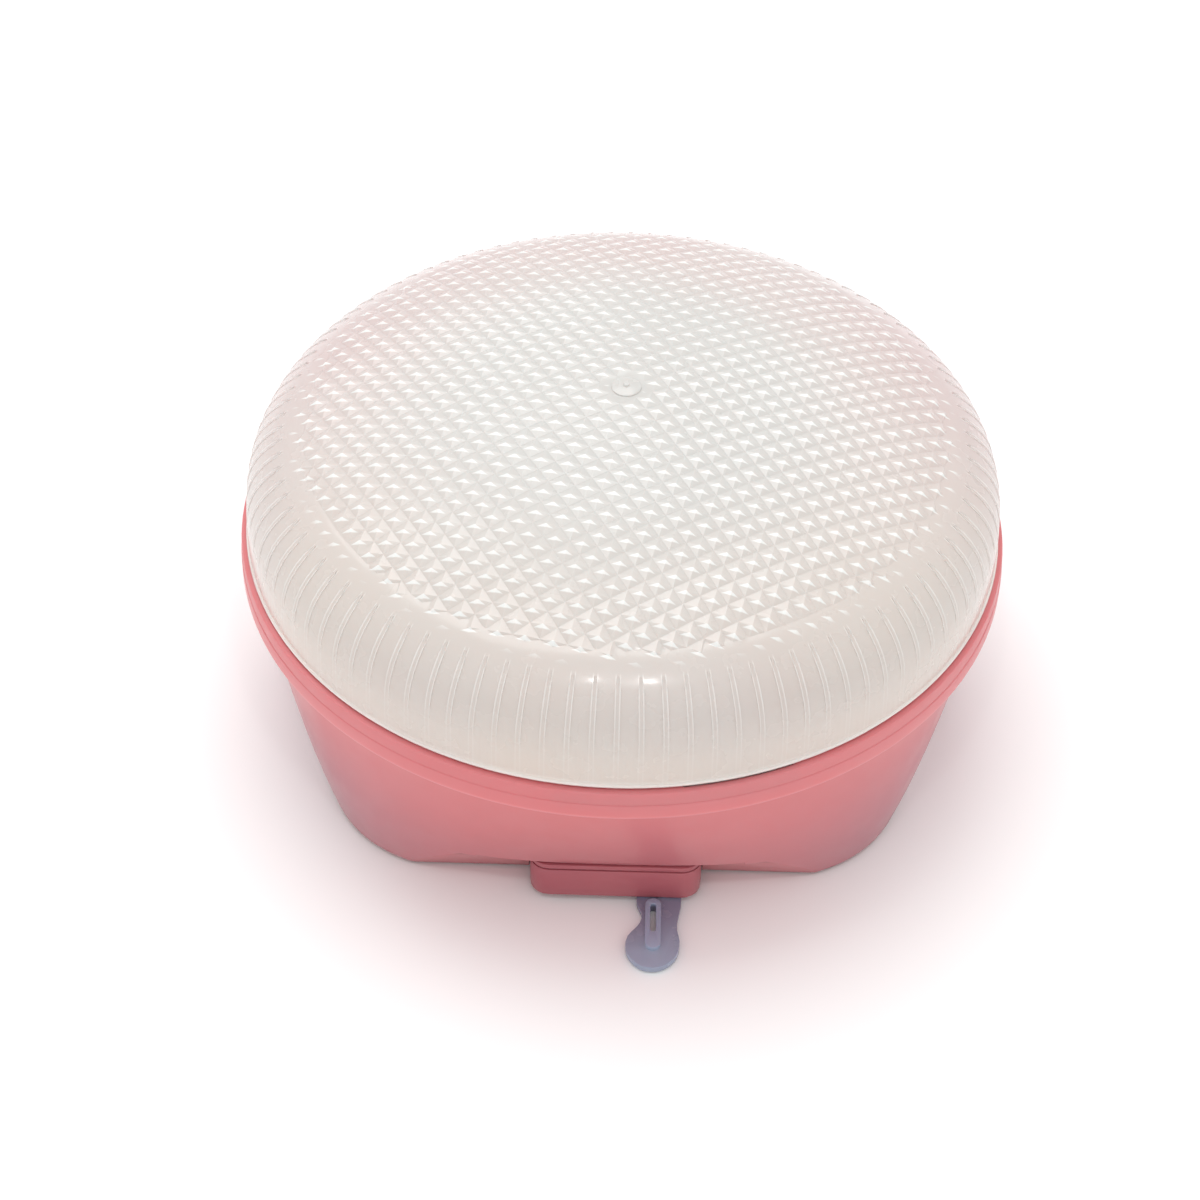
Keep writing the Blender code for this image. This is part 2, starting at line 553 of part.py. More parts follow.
def make_reflector():
    top, bottom = DISH_FLANGE_Z[1], DISH_FLANGE_Z[0]
    profile = [(0, DISH_FLOOR_Z), (DISH_FLOOR_R, DISH_FLOOR_Z), (DISH_LIP_R, top),
               (DISH_FLANGE_R, top), (DISH_FLANGE_R, bottom), (DISH_LIP_R + 0.6, bottom),
               (DISH_FLOOR_R + 0.8, DISH_FLOOR_Z - DISH_T), (0, DISH_FLOOR_Z - DISH_T)]
    dish = turned("reflector", profile, WHITE)
    posts = [cylinder(f"board_post_{i}", (x, 0), POST_R, (POST_FOOT, DISH_FLOOR_Z - 0.5))
             for i, x in enumerate((-POST_X, POST_X))]
    holes = [cylinder(f"led_hole_{i}", place, LED_HOLE_R, (19, 24)) for i, place in enumerate(led_places())]
    pilots = [cylinder(f"post_pilot_{i}", (x, 0), BOARD_SCREW_R + GAP, (18, 21.2), sides=12)
              for i, x in enumerate((-POST_X, POST_X))]
    return cut(fuse(dish, *posts), *holes, *pilots)


def led_places():
    return [(x, y) for x in (-LED_X, LED_X) for y in (-LED_X, LED_X)]


def make_board():
    top = BOARD_Z + BOARD_T
    board = cylinder("led_board", (0, 0), BOARD_R, (BOARD_Z, top), BOARD_GREEN, sides=48)
    cut(board, *[cylinder(f"board_hole_{i}", (x, 0), BOARD_SCREW_R + GAP, (16, 20), sides=12)
                 for i, x in enumerate((-POST_X, POST_X))])
    foot = top + GAP
    profile = [(0, LED_TOP), (LED_R * 0.5, LED_TOP - 0.35), (LED_R * 0.87, LED_TOP - 1.25),
               (LED_R, LED_TOP - LED_R), (LED_R, foot + 1.0), (LED_FLANGE_R, foot + 1.0),
               (LED_FLANGE_R, foot), (0, foot)]
    for i, (x, y) in enumerate(led_places()):
        led = turned(f"led_{i + 1}", profile, LED_CLEAR, sides=16)
        led.location = Vector((x, y, 0)) * MM
    cylinder("resistor", (-4.0, BOARD_Z - GAP - 0.9), 0.9, (-3.2, 3.2), RESISTOR_TAN, sides=12, axis="X")
    for i, x in enumerate((-POST_X, POST_X)):
        screw = cylinder(f"board_screw_{i + 1}", (x, 0), 1.8, (BOARD_Z - GAP - 1.1, BOARD_Z - GAP),
                         STEEL, sides=16)
        fuse(screw, cylinder(f"board_shank_{i}", (x, 0), BOARD_SCREW_R, (BOARD_Z - 0.6, 20.8), sides=12))


# ---------------------------------------------------------------- switch

def make_switch_box():
    front = (BOX_CORNER, BOX_CORNER, 0.6, 0.6)
    body = flat("switch_box", rounded(BOX_X, BOX_Y, front), BOX_Z, PINK_DARK)
    ears = [box("ear_left", (BOX_X[0] - EAR, BOX_X[0] + 1), EAR_Y, EAR_Z),
            box("ear_right", (BOX_X[1] - 1, BOX_X[1] + EAR), EAR_Y, EAR_Z)]
    inner_x = (BOX_X[0] + BOX_WALL, BOX_X[1] - BOX_WALL)
    inner_y = (BOX_Y[0] + BOX_WALL, BOX_Y[1] - BOX_WALL)
    inner = (BOX_CORNER - BOX_WALL, BOX_CORNER - BOX_WALL, 0.3, 0.3)
    floor = BOX_Z[0] + BOX_FLOOR
    removed = [
        flat("box_hollow", rounded(inner_x, inner_y, inner), (floor, BOX_Z[1] + 1)),
        box("neck_slot", (NECK_X[0] - 0.4, NECK_X[1] + 0.4),
            (NECK_Y[0] - TAB_TRAVEL - 0.5, NECK_Y[1] + 0.5), (BOX_Z[0] - 1, floor + 1)),
        cylinder("shaft_seat", (SHAFT_X, SHAFT_Y), SHAFT_R + GAP, (BOX_Z[0] - 1, floor + 1)),
    ]
    for name, x in LEAF_XS.items():
        removed.append(box(f"slit_{name}", (x - GAP, x + LEAF_T + GAP), (BOX_Y[1] - 2, BOX_Y[1] + 1),
                           (LEAF_Z[0] - GAP, LEAF_Z[1] + GAP)))
    for i, x in enumerate((BOX_X[0] - EAR_SCREW, BOX_X[1] + EAR_SCREW)):
        removed.append(cylinder(f"ear_hole_{i}", (x, sum(EAR_Y) / 2), SCREW_R + GAP, (3, 7), sides=16))
    cut(fuse(body, *ears), *removed)

    lid_z = (BOX_Z[1] + GAP, BOX_Z[1] + GAP + LID_T)
    lid = flat("switch_lid", rounded(BOX_X, BOX_Y, front), lid_z, PINK_DARK)
    cut(lid, cylinder("lid_seat", (SHAFT_X, SHAFT_Y), SHAFT_R + GAP, (6, 10)))
    cylinder("switch_shaft", (SHAFT_X, SHAFT_Y), SHAFT_R, (BOX_Z[0] + 0.2, lid_z[1] - 0.1), STEEL)
    for i, x in enumerate((BOX_X[0] - EAR_SCREW, BOX_X[1] + EAR_SCREW)):
        place = (x, sum(EAR_Y) / 2)
        screw = cylinder(f"switch_screw_{i + 1}", place, 2.2, (EAR_Z[1] + GAP, EAR_Z[1] + 1.5), STEEL,
                         sides=20)
        fuse(screw, cylinder(f"switch_shank_{i}", place, SCREW_R, (1.3, EAR_Z[1] + 0.6), sides=12))


def make_pull_tab():
    """A waisted tongue with a round end, a raised rib round its cord slot, and the slider above it."""
    outline = [(10.6, -28.0), (3.8, -28.0), (3.8, -49.6), (3.75, -51.2), (4.6, -54.4), (2.2, -59.2),
               (3.3, -62.8), (6.1, -64.2), (9.2, -62.7), (10.35, -59.6), (9.95, -56.0),
               (10.55, -51.4), (10.6, -49.6)]
    tab = flat("pull_tab", outline, TAB_Z, LILAC, kind="BEZIER", sharp=(0, 1, 2, 12))
    ridge_y, slot_y = sorted(RIDGE_Y), sorted(SLOT_Y)
    ridge = flat("tab_rib", rounded((RIDGE_X - RIDGE_R, RIDGE_X + RIDGE_R),
                 (ridge_y[0] - RIDGE_R, ridge_y[1] + RIDGE_R), (RIDGE_R,) * 4),
                 (TAB_Z[0] + 0.3, TAB_RIDGE_TOP))
    slot = flat("cord_slot", rounded((RIDGE_X - SLOT_R, RIDGE_X + SLOT_R),
                (slot_y[0] - SLOT_R, slot_y[1] + SLOT_R), (SLOT_R,) * 4, steps=3), (-1, 3))
    peg_place = (sum(NECK_X) / 2, sum(NECK_Y) / 2)
    hole = cylinder("peg_hole", peg_place, PEG_R + GAP, (-1, 2), sides=16)
    cut(fuse(tab, ridge), slot, hole)

    pitch = 2 * math.pi * PINION_PITCH_R / PINION_TEETH
    rack = [(SLIDER_X[0], SLIDER_Y[1]), (SLIDER_X[0], SLIDER_Y[0])][::-1]
    for i in range(RACK_TEETH):
        y = SHAFT_Y + (i - 0.5) * pitch
        rack[-1:-1] = [(SLIDER_X[0], y - TOOTH_ROOT_HALF), (RACK_TIP_X, y - TOOTH_TIP_HALF),
                       (RACK_TIP_X, y + TOOTH_TIP_HALF), (SLIDER_X[0], y + TOOTH_ROOT_HALF)]
    back = [(SLIDER_X[1], SLIDER_Y[1]), (SLIDER_X[1], SLIDER_Y[0])]
    slider = flat("pull_slider", rack + back, SLIDER_Z, WHITE)
    seat = box("spring_seat", (SPRING_X - 1.7, SLIDER_X[1] - 0.2), (SLIDER_Y[0] + 0.1, SLIDER_Y[0] + 1.3),
               (SLIDER_Z[1] - 0.5, 6.4))
    neck = box("neck", NECK_X, NECK_Y, (TAB_Z[1] + GAP, SLIDER_Z[0] + 0.5))
    peg = cylinder("peg", peg_place, PEG_R, (TAB_Z[0] + 0.2, TAB_Z[1] + 0.8), sides=16)
    fuse(slider, seat, neck, peg)
    carrier("tab_pull_axis", (7.2, SLIDER_Y[0], sum(TAB_Z) / 2), tab, slider)


def make_switch_works():
    step = 2 * math.pi / PINION_TEETH
    outline = []
    for i in range(PINION_TEETH):
        middle = i * step
        for radius, half in ((PINION_ROOT_R, TOOTH_ROOT_HALF), (PINION_TIP_R, TOOTH_TIP_HALF),
                             (PINION_TIP_R, -TOOTH_TIP_HALF), (PINION_ROOT_R, -TOOTH_ROOT_HALF)):
            angle = middle - math.asin(half / radius)
            outline.append((radius * math.cos(angle), radius * math.sin(angle)))
    pinion = flat("drive_pinion", outline, SLIDER_Z, WHITE)
    saw = []
    for i in range(RATCHET_TEETH):
        for radius, share in ((RATCHET_TIP_R, 0.0), (RATCHET_ROOT_R, 0.08)):
            angle = 2 * math.pi * (i + share) / RATCHET_TEETH
            saw.append((radius * math.cos(angle), radius * math.sin(angle)))
    wheel = flat("ratchet_wheel", saw, RATCHET_Z, WHITE)
    for piece in (pinion, wheel):
        bore = cylinder(f"bore_{piece.name}", (0, 0), BORE_R, (2, 8))
        for mated in (piece, bore):
            mated.location += Vector((SHAFT_X, SHAFT_Y, 0)) * MM
        cut(piece, bore)

    front, back = BOX_Y[0] + BOX_WALL + 0.5, SLIDER_Y[0] - 0.5
    points = coil(front - back, SPRING_COIL_R, 6, back, lambda d, a, b: (SPRING_X + a, d, SPRING_Z + b),
                  per_turn=9)
    tube("return_spring", points, SPRING_WIRE_R, STEEL, resolution=1)
    for name, x in LEAF_XS.items():
        leaf = box(name, (x, x + LEAF_T), (-46.0, BOX_Y[1] + 1.5), LEAF_Z, BRASS)
        fuse(leaf, cylinder(f"rivet_{name}", (-38.0, sum(LEAF_Z) / 2), 0.9, (x + 0.1, x + LEAF_T + 0.4),
                            sides=12, axis="X"))
    box("detent_leaf", (-6.3, -6.0), (-47.5, -31.0), (4.7, 6.3), BRASS)


# ---------------------------------------------------------------- wires

def make_wires():
    tail, low = TERMINAL_TOP + GAP, BOARD_Z - 1.0
    leaf_end = BOX_Y[1] + 1.5 + GAP + 0.6
    outer, inner = LEAF_XS["contact_leaf_outer"] + 0.2, LEAF_XS["contact_leaf_inner"] + 0.2
    middle_x, leaf_z = CONTACT_X + CONTACT_T / 2, sum(LEAF_Z) / 2
    routes = {
        "wire_negative": ([(-middle_x, CELL_Y[0], tail + 0.6), (-middle_x + 1, CELL_Y[0] - 2, tail + 1.6),
                           (-20, 6, low - 0.6), (-13, 4, low - 0.3)], BLACK_WIRE),
        "wire_positive": ([(middle_x, CELL_Y[2], tail + 0.6), (middle_x + 2, CELL_Y[2] - 5, tail + 1.4),
                           (31, 14, 16), (30, -6, 11), (20, -19, 8.4), (4, -20, 6.4),
                           (inner + 3, leaf_end + 1.8, leaf_z + 0.3), (inner, leaf_end, leaf_z)], RED_WIRE),
        "wire_switched": ([(outer, leaf_end, leaf_z), (outer - 0.4, leaf_end + 3, leaf_z + 1.2),
                           (-12, -14, 11), (-9, -9, low - 0.3)], RED_WIRE),
    }
    for name, (knots, finish) in routes.items():
        tube(name, smooth_route(knots, steps=4), 0.6, finish, resolution=1)


make_housing()
make_rear_cover()
make_battery_door()
make_cover_screws()
make_battery_tray()
make_cells()
make_contacts()
make_lens()
make_reflector()
make_board()
make_switch_box()
make_pull_tab()
make_switch_works()
make_wires()
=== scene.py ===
import json
import math

import bpy
from mathutils import Matrix, Vector

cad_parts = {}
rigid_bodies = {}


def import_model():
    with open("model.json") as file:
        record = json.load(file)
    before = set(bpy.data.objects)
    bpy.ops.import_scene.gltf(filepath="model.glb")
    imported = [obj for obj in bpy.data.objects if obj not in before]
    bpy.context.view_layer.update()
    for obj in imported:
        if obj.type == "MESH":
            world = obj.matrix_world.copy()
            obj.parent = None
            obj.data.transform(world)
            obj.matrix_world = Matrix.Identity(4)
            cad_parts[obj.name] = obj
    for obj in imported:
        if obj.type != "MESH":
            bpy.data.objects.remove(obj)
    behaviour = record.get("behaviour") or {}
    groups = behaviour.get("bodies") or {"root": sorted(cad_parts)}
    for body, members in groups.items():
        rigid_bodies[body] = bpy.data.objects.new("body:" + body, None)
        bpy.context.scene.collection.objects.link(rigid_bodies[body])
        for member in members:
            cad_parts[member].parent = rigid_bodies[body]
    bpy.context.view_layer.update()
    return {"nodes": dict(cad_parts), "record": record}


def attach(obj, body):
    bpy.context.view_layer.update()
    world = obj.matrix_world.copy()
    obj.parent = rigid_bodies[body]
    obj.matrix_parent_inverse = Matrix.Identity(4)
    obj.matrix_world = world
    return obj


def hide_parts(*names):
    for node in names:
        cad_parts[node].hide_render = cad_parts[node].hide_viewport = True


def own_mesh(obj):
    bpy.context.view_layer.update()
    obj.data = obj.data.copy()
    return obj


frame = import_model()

# Battery dome lamp lying on its back: the milky prismatic lens is up, the pull tab leaves
# towards -Y. Lengths below are in millimetres and MM turns them into metres.
MM = 0.001
GAP = 0.3                                         # room round a piece that sits in an opening
WELD, FINE_WELD, CAD_WELD = 0.001, 0.0005, 0.002  # corners closer than this become one
ALIGNED = 0.9                                     # an edge or face this near an axis lies on it

# Housing
RIM_R, RIM_Z, RIM_FOOT, RIM_BORE_R, LEDGE_Z = 60.3, 34.5, 29.3, 58.1, 30.0
RIM_EASE, BORE_EASE = 0.45, 0.2
RIM_LINE = ((0.0, 31.95), (0.04, 32.1), (0.14, 32.2))  # inset and height
RIM_TOP = ((0.15, 0.35), (0.25, 0.1), (0.5, 0.0))      # inset and fall from the top
WALL_TOP_R, WALL_T, FOOT_HALF, FOOT_POWER = 58.5, 2.0, 47.2, 3.7
FOOT_Z, FOOT_FILLET, WALL_CURVE, SQUARING_CURVE = 0.3, 1.06, 1.163, 1.678
WALL_STEPS, ROUND_STEPS = 26, 180

# The flat on the housing's front, the panel behind it, the lip over it and the openings
FLAT_FOOT_Y, FLAT_TOP_Y, FLAT_TOP_Z = -43.6, -48.9, 8.4
FLAT_SLOPE = (FLAT_TOP_Y - FLAT_FOOT_Y) / (FLAT_TOP_Z - FOOT_Z)
PANEL_T, PANEL_X, PANEL_TOP, PANEL_INSET, PANEL_RING = 1.8, 34.0, 9.6, 0.8, 8
LIP = ((-0.45, -0.02), (0.6, -0.02), (0.6, 0.75), (0.16, 0.45), (-0.45, -0.02))  # out and up
LIP_SWEEP, LIP_START, LIP_STEPS = 45, -113, 60
CUT_LOW, CUT_FRONT, CUT_HALF_X = -1, -62, 60  # cutters reach this far past the housing
BOX_X, BOX_BACK_Y, BOX_LOW, BOX_CORNER = (-12.7, 13.5), -23.7, -5, 0.5
COVER_HALF_X, COVER_HALF_Y, COVER_T, COVER_CORNER = 35.6, 42.8, 2.0, 7.0
DOOR_HALF_X, DOOR_EXIT_Y, DOOR_LOW, DOOR_LIFT, DOOR_CORNER = 27.3, (40, 52), -2, 0.9, 0.8

# Lens
LENS_R, LENS_RISE, LENS_FOOT_Z, RADIAL_POWER, RISE_POWER = 59.1, 26.34, 34.8, 1.59, 3.9
INNER_R, INNER_RISE, INNER_FOOT_Z = 57.1, 23.14, 36.0
SKIRT_R, SKIRT_BORE_R, SKIRT_Z = 57.8, 55.2, 31.6
INNER_Z = 35.4
BEAD = ((0.0, 0.75), (0.2, 0.55), (0.25, 0.3), (0.15, 0.05), (0.0, 0.0))  # out and up
BEAD_TOP = 0.9
GATE = ((0, 0.42), (0.35, 0.40), (0.5, 0.12), (1.9, 0.05), (2.3, -0.1), (2.3, -1.1), (0, -1.1))
RECESS, RECESS_DEPTH = (46.0, 51.2), 0.75
LUG_ANGLES, LUG_HALF, LUG_R, LUG_ROOT = (30.0, 150.0, 270.0), 7.0, 59.0, 0.8
LUG_Z, LENS_TWIST = (31.9, 33.2), 18.0
GROOVE_R, GROOVE_Z, GROOVE_MARGIN, ENTRY_LAP = 59.4, (31.6, 33.5), 1.5, 0.5
PRISM_PITCH, PRISM_TURN, PRISM_REACH = 2.9, 31.7, 53.4
PRISM_TOP, PRISM_VALLEY, PRISM_ROOT = 0.19, -0.19, -1.45
PRISM_FADE, PRISM_SINK = (49.6, 52.8), 0.8
RIBS, RIB_HALF, RIB_HEIGHT, RIB_ROOT, RIB_START_R, RIB_END_Z = 104, 0.42, 0.13, -0.3, 53.0, 37.5
RIB_EDGE, RIB_DIP, RIB_STEPS, RIB_SINK, RIB_TIP, RIB_FADE = 0.2, 0.07, 8, 0.1, 0.35, (0.55, 1.0)

# Painted highlights on the prisms, in shares of the pitch, and the lens's tints, among them painted
# highlights on the bead and ribs
HIGHLIGHT_SHIFT, HIGHLIGHT_DROOP, HIGHLIGHT_THICK, HIGHLIGHT_REACH = 0.05, 0.40, 0.23, 0.45
LENS_MIDDLE, LENS_SIDE = (0.60, 0.585, 0.56), (0.645, 0.58, 0.535)
LENS_PINK, LENS_PATCH, LENS_CLOUD = (0.61, 0.485, 0.475), (0.60, 0.50, 0.48), (0.64, 0.625, 0.60)
# The second tint here is a painted highlight on the bead at the lens's foot, and the next line's two
# tints are painted highlights along the ribs and on the prisms' carets
LENS_LOW, LENS_BEAD_HIGHLIGHT = (0.74, 0.635, 0.555), (0.93, 0.86, 0.80)
RIB_HIGHLIGHT, PRISM_HIGHLIGHT = (0.85, 0.82, 0.79), (0.80, 0.795, 0.775)

# The pink shell's tints, mostly painted light: painted shade low and a painted glow high on the
# wall, painted shade at its corners, a painted highlight under the rim, a painted shadow at the
# foot's edge, painted shade on the front flat and deeper painted shade at its top, and the clouding
PINK_LOW_SHADED, PINK_HIGH_LIT, PINK_CORNER_SHADE = (0.50, 0.155, 0.175), (0.665, 0.175, 0.185), (0.40, 0.19, 0.225)
PINK_RIM_HIGHLIGHT, PINK_FOOT_SHADOW, PINK_FLAT_SHADE = (0.78, 0.31, 0.32), (0.34, 0.035, 0.045), (0.47, 0.13, 0.145)
PINK_SHADE, PINK_CLOUD = (0.30, 0.07, 0.085), (0.70, 0.25, 0.27)

# The lilac tab's tints
TAB_ROOT, TAB_TIP, TAB_RIB, TAB_CLOUD = (
    (0.22, 0.20, 0.29), (0.33, 0.37, 0.48), (0.36, 0.41, 0.55), (0.29, 0.31, 0.41))

# How clouding and grain are read from noise, in its own range and in metres
CLOUD_RANGE, GRAIN_DEPTH, LINE_DEPTH, PLASTIC_IOR = (0.3, 0.7), 0.0001, 0.00005, 1.49

# Camera, in millimetres, and lights: place, size and power, in metres and watts
CAMERA_PLACE, CAMERA_BACK, CAMERA_RIGHT = (
    (0.0, -348.8, 344.2), (0.0, -0.7478, 0.6639), (0.99961, 0.01847, 0.02081))
FOCAL_LENGTH, SENSOR, SHIFT = 88.2, 36.0, (-0.019, -0.070)
FLOOR_LOW, FLOOR_HIGH, WORLD_STRENGTH = (0.93, 0.93, 0.93), (0.96, 0.96, 0.96), 0.88
AIM = (0, 0, 0.03)
LIGHTS = {"key_light": ((-0.2, 0.6, 1.6), (1.3, 1.3), 13.0),
          "window_light_left": ((-0.08, -0.46, 0.86), (0.03, 0.06), 0.25),
          "window_light_right": ((0.10, -0.46, 0.86), (0.05, 0.06), 0.35)}

# How far each piece's edges are rounded, and how much each drawn wire is filled out again
EASED = {"rear_cover": 0.25, "battery_door": 0.2, "switch_box": 0.12, "switch_lid": 0.1,
         "pull_tab": 0.18, "pull_slider": 0.12, "battery_tray": 0.25, "led_board": 0.12,
         "drive_pinion": 0.08, "ratchet_wheel": 0.1, "contact_bridge_left": 0.08,
         "contact_bridge_right": 0.08, "terminal_negative": 0.08, "terminal_positive": 0.08,
         "contact_leaf_inner": 0.06, "contact_leaf_outer": 0.06, "detent_leaf": 0.06}
WIRES = {"battery_spring_1": 0.053, "battery_spring_2": 0.053, "battery_spring_3": 0.053,
         "wire_negative": 0.08, "wire_positive": 0.067, "wire_switched": 0.08}
SPRING_FILL = 0.027

# Light and dark tints of the plain finishes
PLASTICS = {"white_plastic": ((0.84, 0.84, 0.81), (0.78, 0.78, 0.75)),
            "board": ((0.05, 0.22, 0.10), (0.03, 0.17, 0.07)),
            "led_clear": ((0.95, 0.92, 0.75), (0.9, 0.85, 0.6)),
            "resistor": ((0.62, 0.50, 0.32), (0.55, 0.43, 0.27)),
            "cell_sleeve": ((0.10, 0.16, 0.30), (0.07, 0.12, 0.24)),
            "wire_red": ((0.60, 0.03, 0.03), (0.5, 0.02, 0.02)),
            "wire_black": ((0.02, 0.02, 0.02), (0.03, 0.03, 0.03))}
METALS = {"nickel": ((0.72, 0.71, 0.68), (0.6, 0.59, 0.56)),
          "brass": ((0.78, 0.58, 0.26), (0.62, 0.44, 0.18)),
          "steel": ((0.60, 0.60, 0.60), (0.48, 0.48, 0.48))}


# ---------------------------------------------------------------- shaping

def clear_selection():
    if bpy.context.object and bpy.context.object.mode != "OBJECT":
        bpy.ops.object.mode_set(mode="OBJECT")
    bpy.ops.object.select_all(action="DESELECT")


def edit(piece):
    """Opens a piece for editing with all of it selected."""
    clear_selection()
    piece.select_set(True)
    bpy.context.view_layer.objects.active = piece
    bpy.ops.object.mode_set(mode="EDIT")
    bpy.ops.mesh.select_all(action="SELECT")


def close(piece, weld=WELD):
    """Leaves edit mode with the doubles merged, the faces outwards and the place in the mesh."""
    edit(piece)
    bpy.ops.mesh.remove_doubles(threshold=weld * MM)
    bpy.ops.mesh.normals_make_consistent(inside=False)
    bpy.ops.object.mode_set(mode="OBJECT")
    bpy.ops.object.transform_apply(location=True, rotation=True, scale=True)
    return piece


def turned(name, profile, steps=ROUND_STEPS, sweep=360.0, start=0.0):
    """A point drawn along a profile of (radius, height) and spun about Z."""
    clear_selection()
    bpy.ops.mesh.primitive_plane_add(size=MM)
    piece = bpy.context.object
    piece.name = name
    bpy.ops.object.mode_set(mode="EDIT")
    bpy.ops.mesh.select_mode(type="VERT")
    bpy.ops.mesh.select_all(action="SELECT")
    bpy.ops.mesh.merge(type="CENTER")
    bpy.ops.transform.translate(value=(profile[0][0] * MM, 0, profile[0][1] * MM))
    for (r0, z0), (r1, z1) in zip(profile, profile[1:]):
        bpy.ops.mesh.extrude_region_move(
            TRANSFORM_OT_translate={"value": ((r1 - r0) * MM, 0, (z1 - z0) * MM)})
    bpy.ops.mesh.select_all(action="SELECT")
    if sweep < 360:
        bpy.ops.mesh.remove_doubles(threshold=WELD * MM)
        bpy.ops.mesh.edge_face_add()
    bpy.ops.mesh.spin(steps=steps, angle=math.radians(-sweep), center=(0, 0, 0), axis=(0, 0, 1))
    bpy.ops.object.mode_set(mode="OBJECT")
    piece.data.transform(Matrix.Rotation(math.radians(start), 4, "Z"))
    return close(piece)


def block(name, x, y, z, ease=0.0, which=None, segments=4):
    """A box between two values on each axis. The edges that which picks are rounded."""
    clear_selection()
    bpy.ops.mesh.primitive_cube_add(size=1, location=[sum(span) / 2 * MM for span in (x, y, z)])
    piece = bpy.context.object
    piece.name = name
    bpy.ops.object.mode_set(mode="EDIT")
    bpy.ops.transform.resize(value=[abs(b - a) * MM for a, b in (x, y, z)])
    bpy.ops.object.mode_set(mode="OBJECT")
    bpy.ops.object.transform_apply(location=True, rotation=True, scale=True)
    if ease:
        pick_edges(piece, which)
        bpy.ops.mesh.bevel(offset=ease * MM, segments=segments)
    return close(piece)


def leaning(name, outline, half):
    """A box carried across X whose four corners in (y, z) are moved to the outline's."""
    piece = block(name, (-half, half), (-1, 1), (-1, 1))
    corners = ((-1, -1), (-1, 1), (1, 1), (1, -1))
    order = sorted(range(4), key=lambda i: outline[i][1])
    low, high = (sorted(pair, key=lambda i: outline[i][0]) for pair in (order[:2], order[2:]))
    target = dict(zip(corners, [outline[i] for i in (low[0], high[0], high[1], low[1])]))
    for point in piece.data.vertices:
        y, z = target[round(point.co.y / MM), round(point.co.z / MM)]
        point.co = Vector((point.co.x, y * MM, z * MM))
    return close(piece)


def top_edges_along_y(middle, along):
    return abs(along.y) > ALIGNED and middle.z > 0


def upright_edges(middle, along):
    return abs(along.z) > ALIGNED


def edges_along_x(middle, along):
    return abs(along.x) > ALIGNED


def pick_edges(piece, which, unit=MM):
    """Selects the edges whose middle (in the piece's drawing unit) and direction pass the test."""
    edit(piece)
    bpy.ops.mesh.select_mode(type="EDGE")
    bpy.ops.mesh.select_all(action="DESELECT")
    bpy.ops.object.mode_set(mode="OBJECT")
    points = piece.data.vertices
    for edge in piece.data.edges:
        a, b = (points[i].co / unit for i in edge.vertices)
        edge.select = bool(which((a + b) / 2, (b - a).normalized()))
    bpy.ops.object.mode_set(mode="EDIT")


def use(piece, kind, name="finish", **settings):
    """Adds a modifier and applies it."""
    clear_selection()
    piece.select_set(True)
    bpy.context.view_layer.objects.active = piece
    change = piece.modifiers.new(name, kind)
    for key, value in settings.items():
        setattr(change, key, value)
    bpy.ops.object.modifier_apply(modifier=change.name)
    return piece


def combine(piece, operation, *others, solver="EXACT"):
    """Joins, cuts or crosses a piece with others, which are used up."""
    for other in others:
        use(piece, "BOOLEAN", operation=operation, object=other, solver=solver)
        bpy.data.objects.remove(other)
    return piece


def smooth(piece, angle=32):
    """Shades smooth across edges flatter than the angle."""
    clear_selection()
    piece.select_set(True)
    bpy.context.view_layer.objects.active = piece
    bpy.ops.object.shade_smooth_by_angle(angle=math.radians(angle))
    return piece


def sector(name, radii, angles, z, steps=10):
    """A block between two radii, two angles in degrees and two heights."""
    outline = [(radii[i], z[j]) for i, j in ((0, 0), (1, 0), (1, 1), (0, 1), (0, 0))]
    return turned(name, outline, steps=steps, sweep=angles[1] - angles[0], start=angles[0])


def quarter(steps):
    """Angles from nothing to a quarter turn."""
    return [math.pi / 2 * i / steps for i in range(steps + 1)]


# ---------------------------------------------------------------- finishes

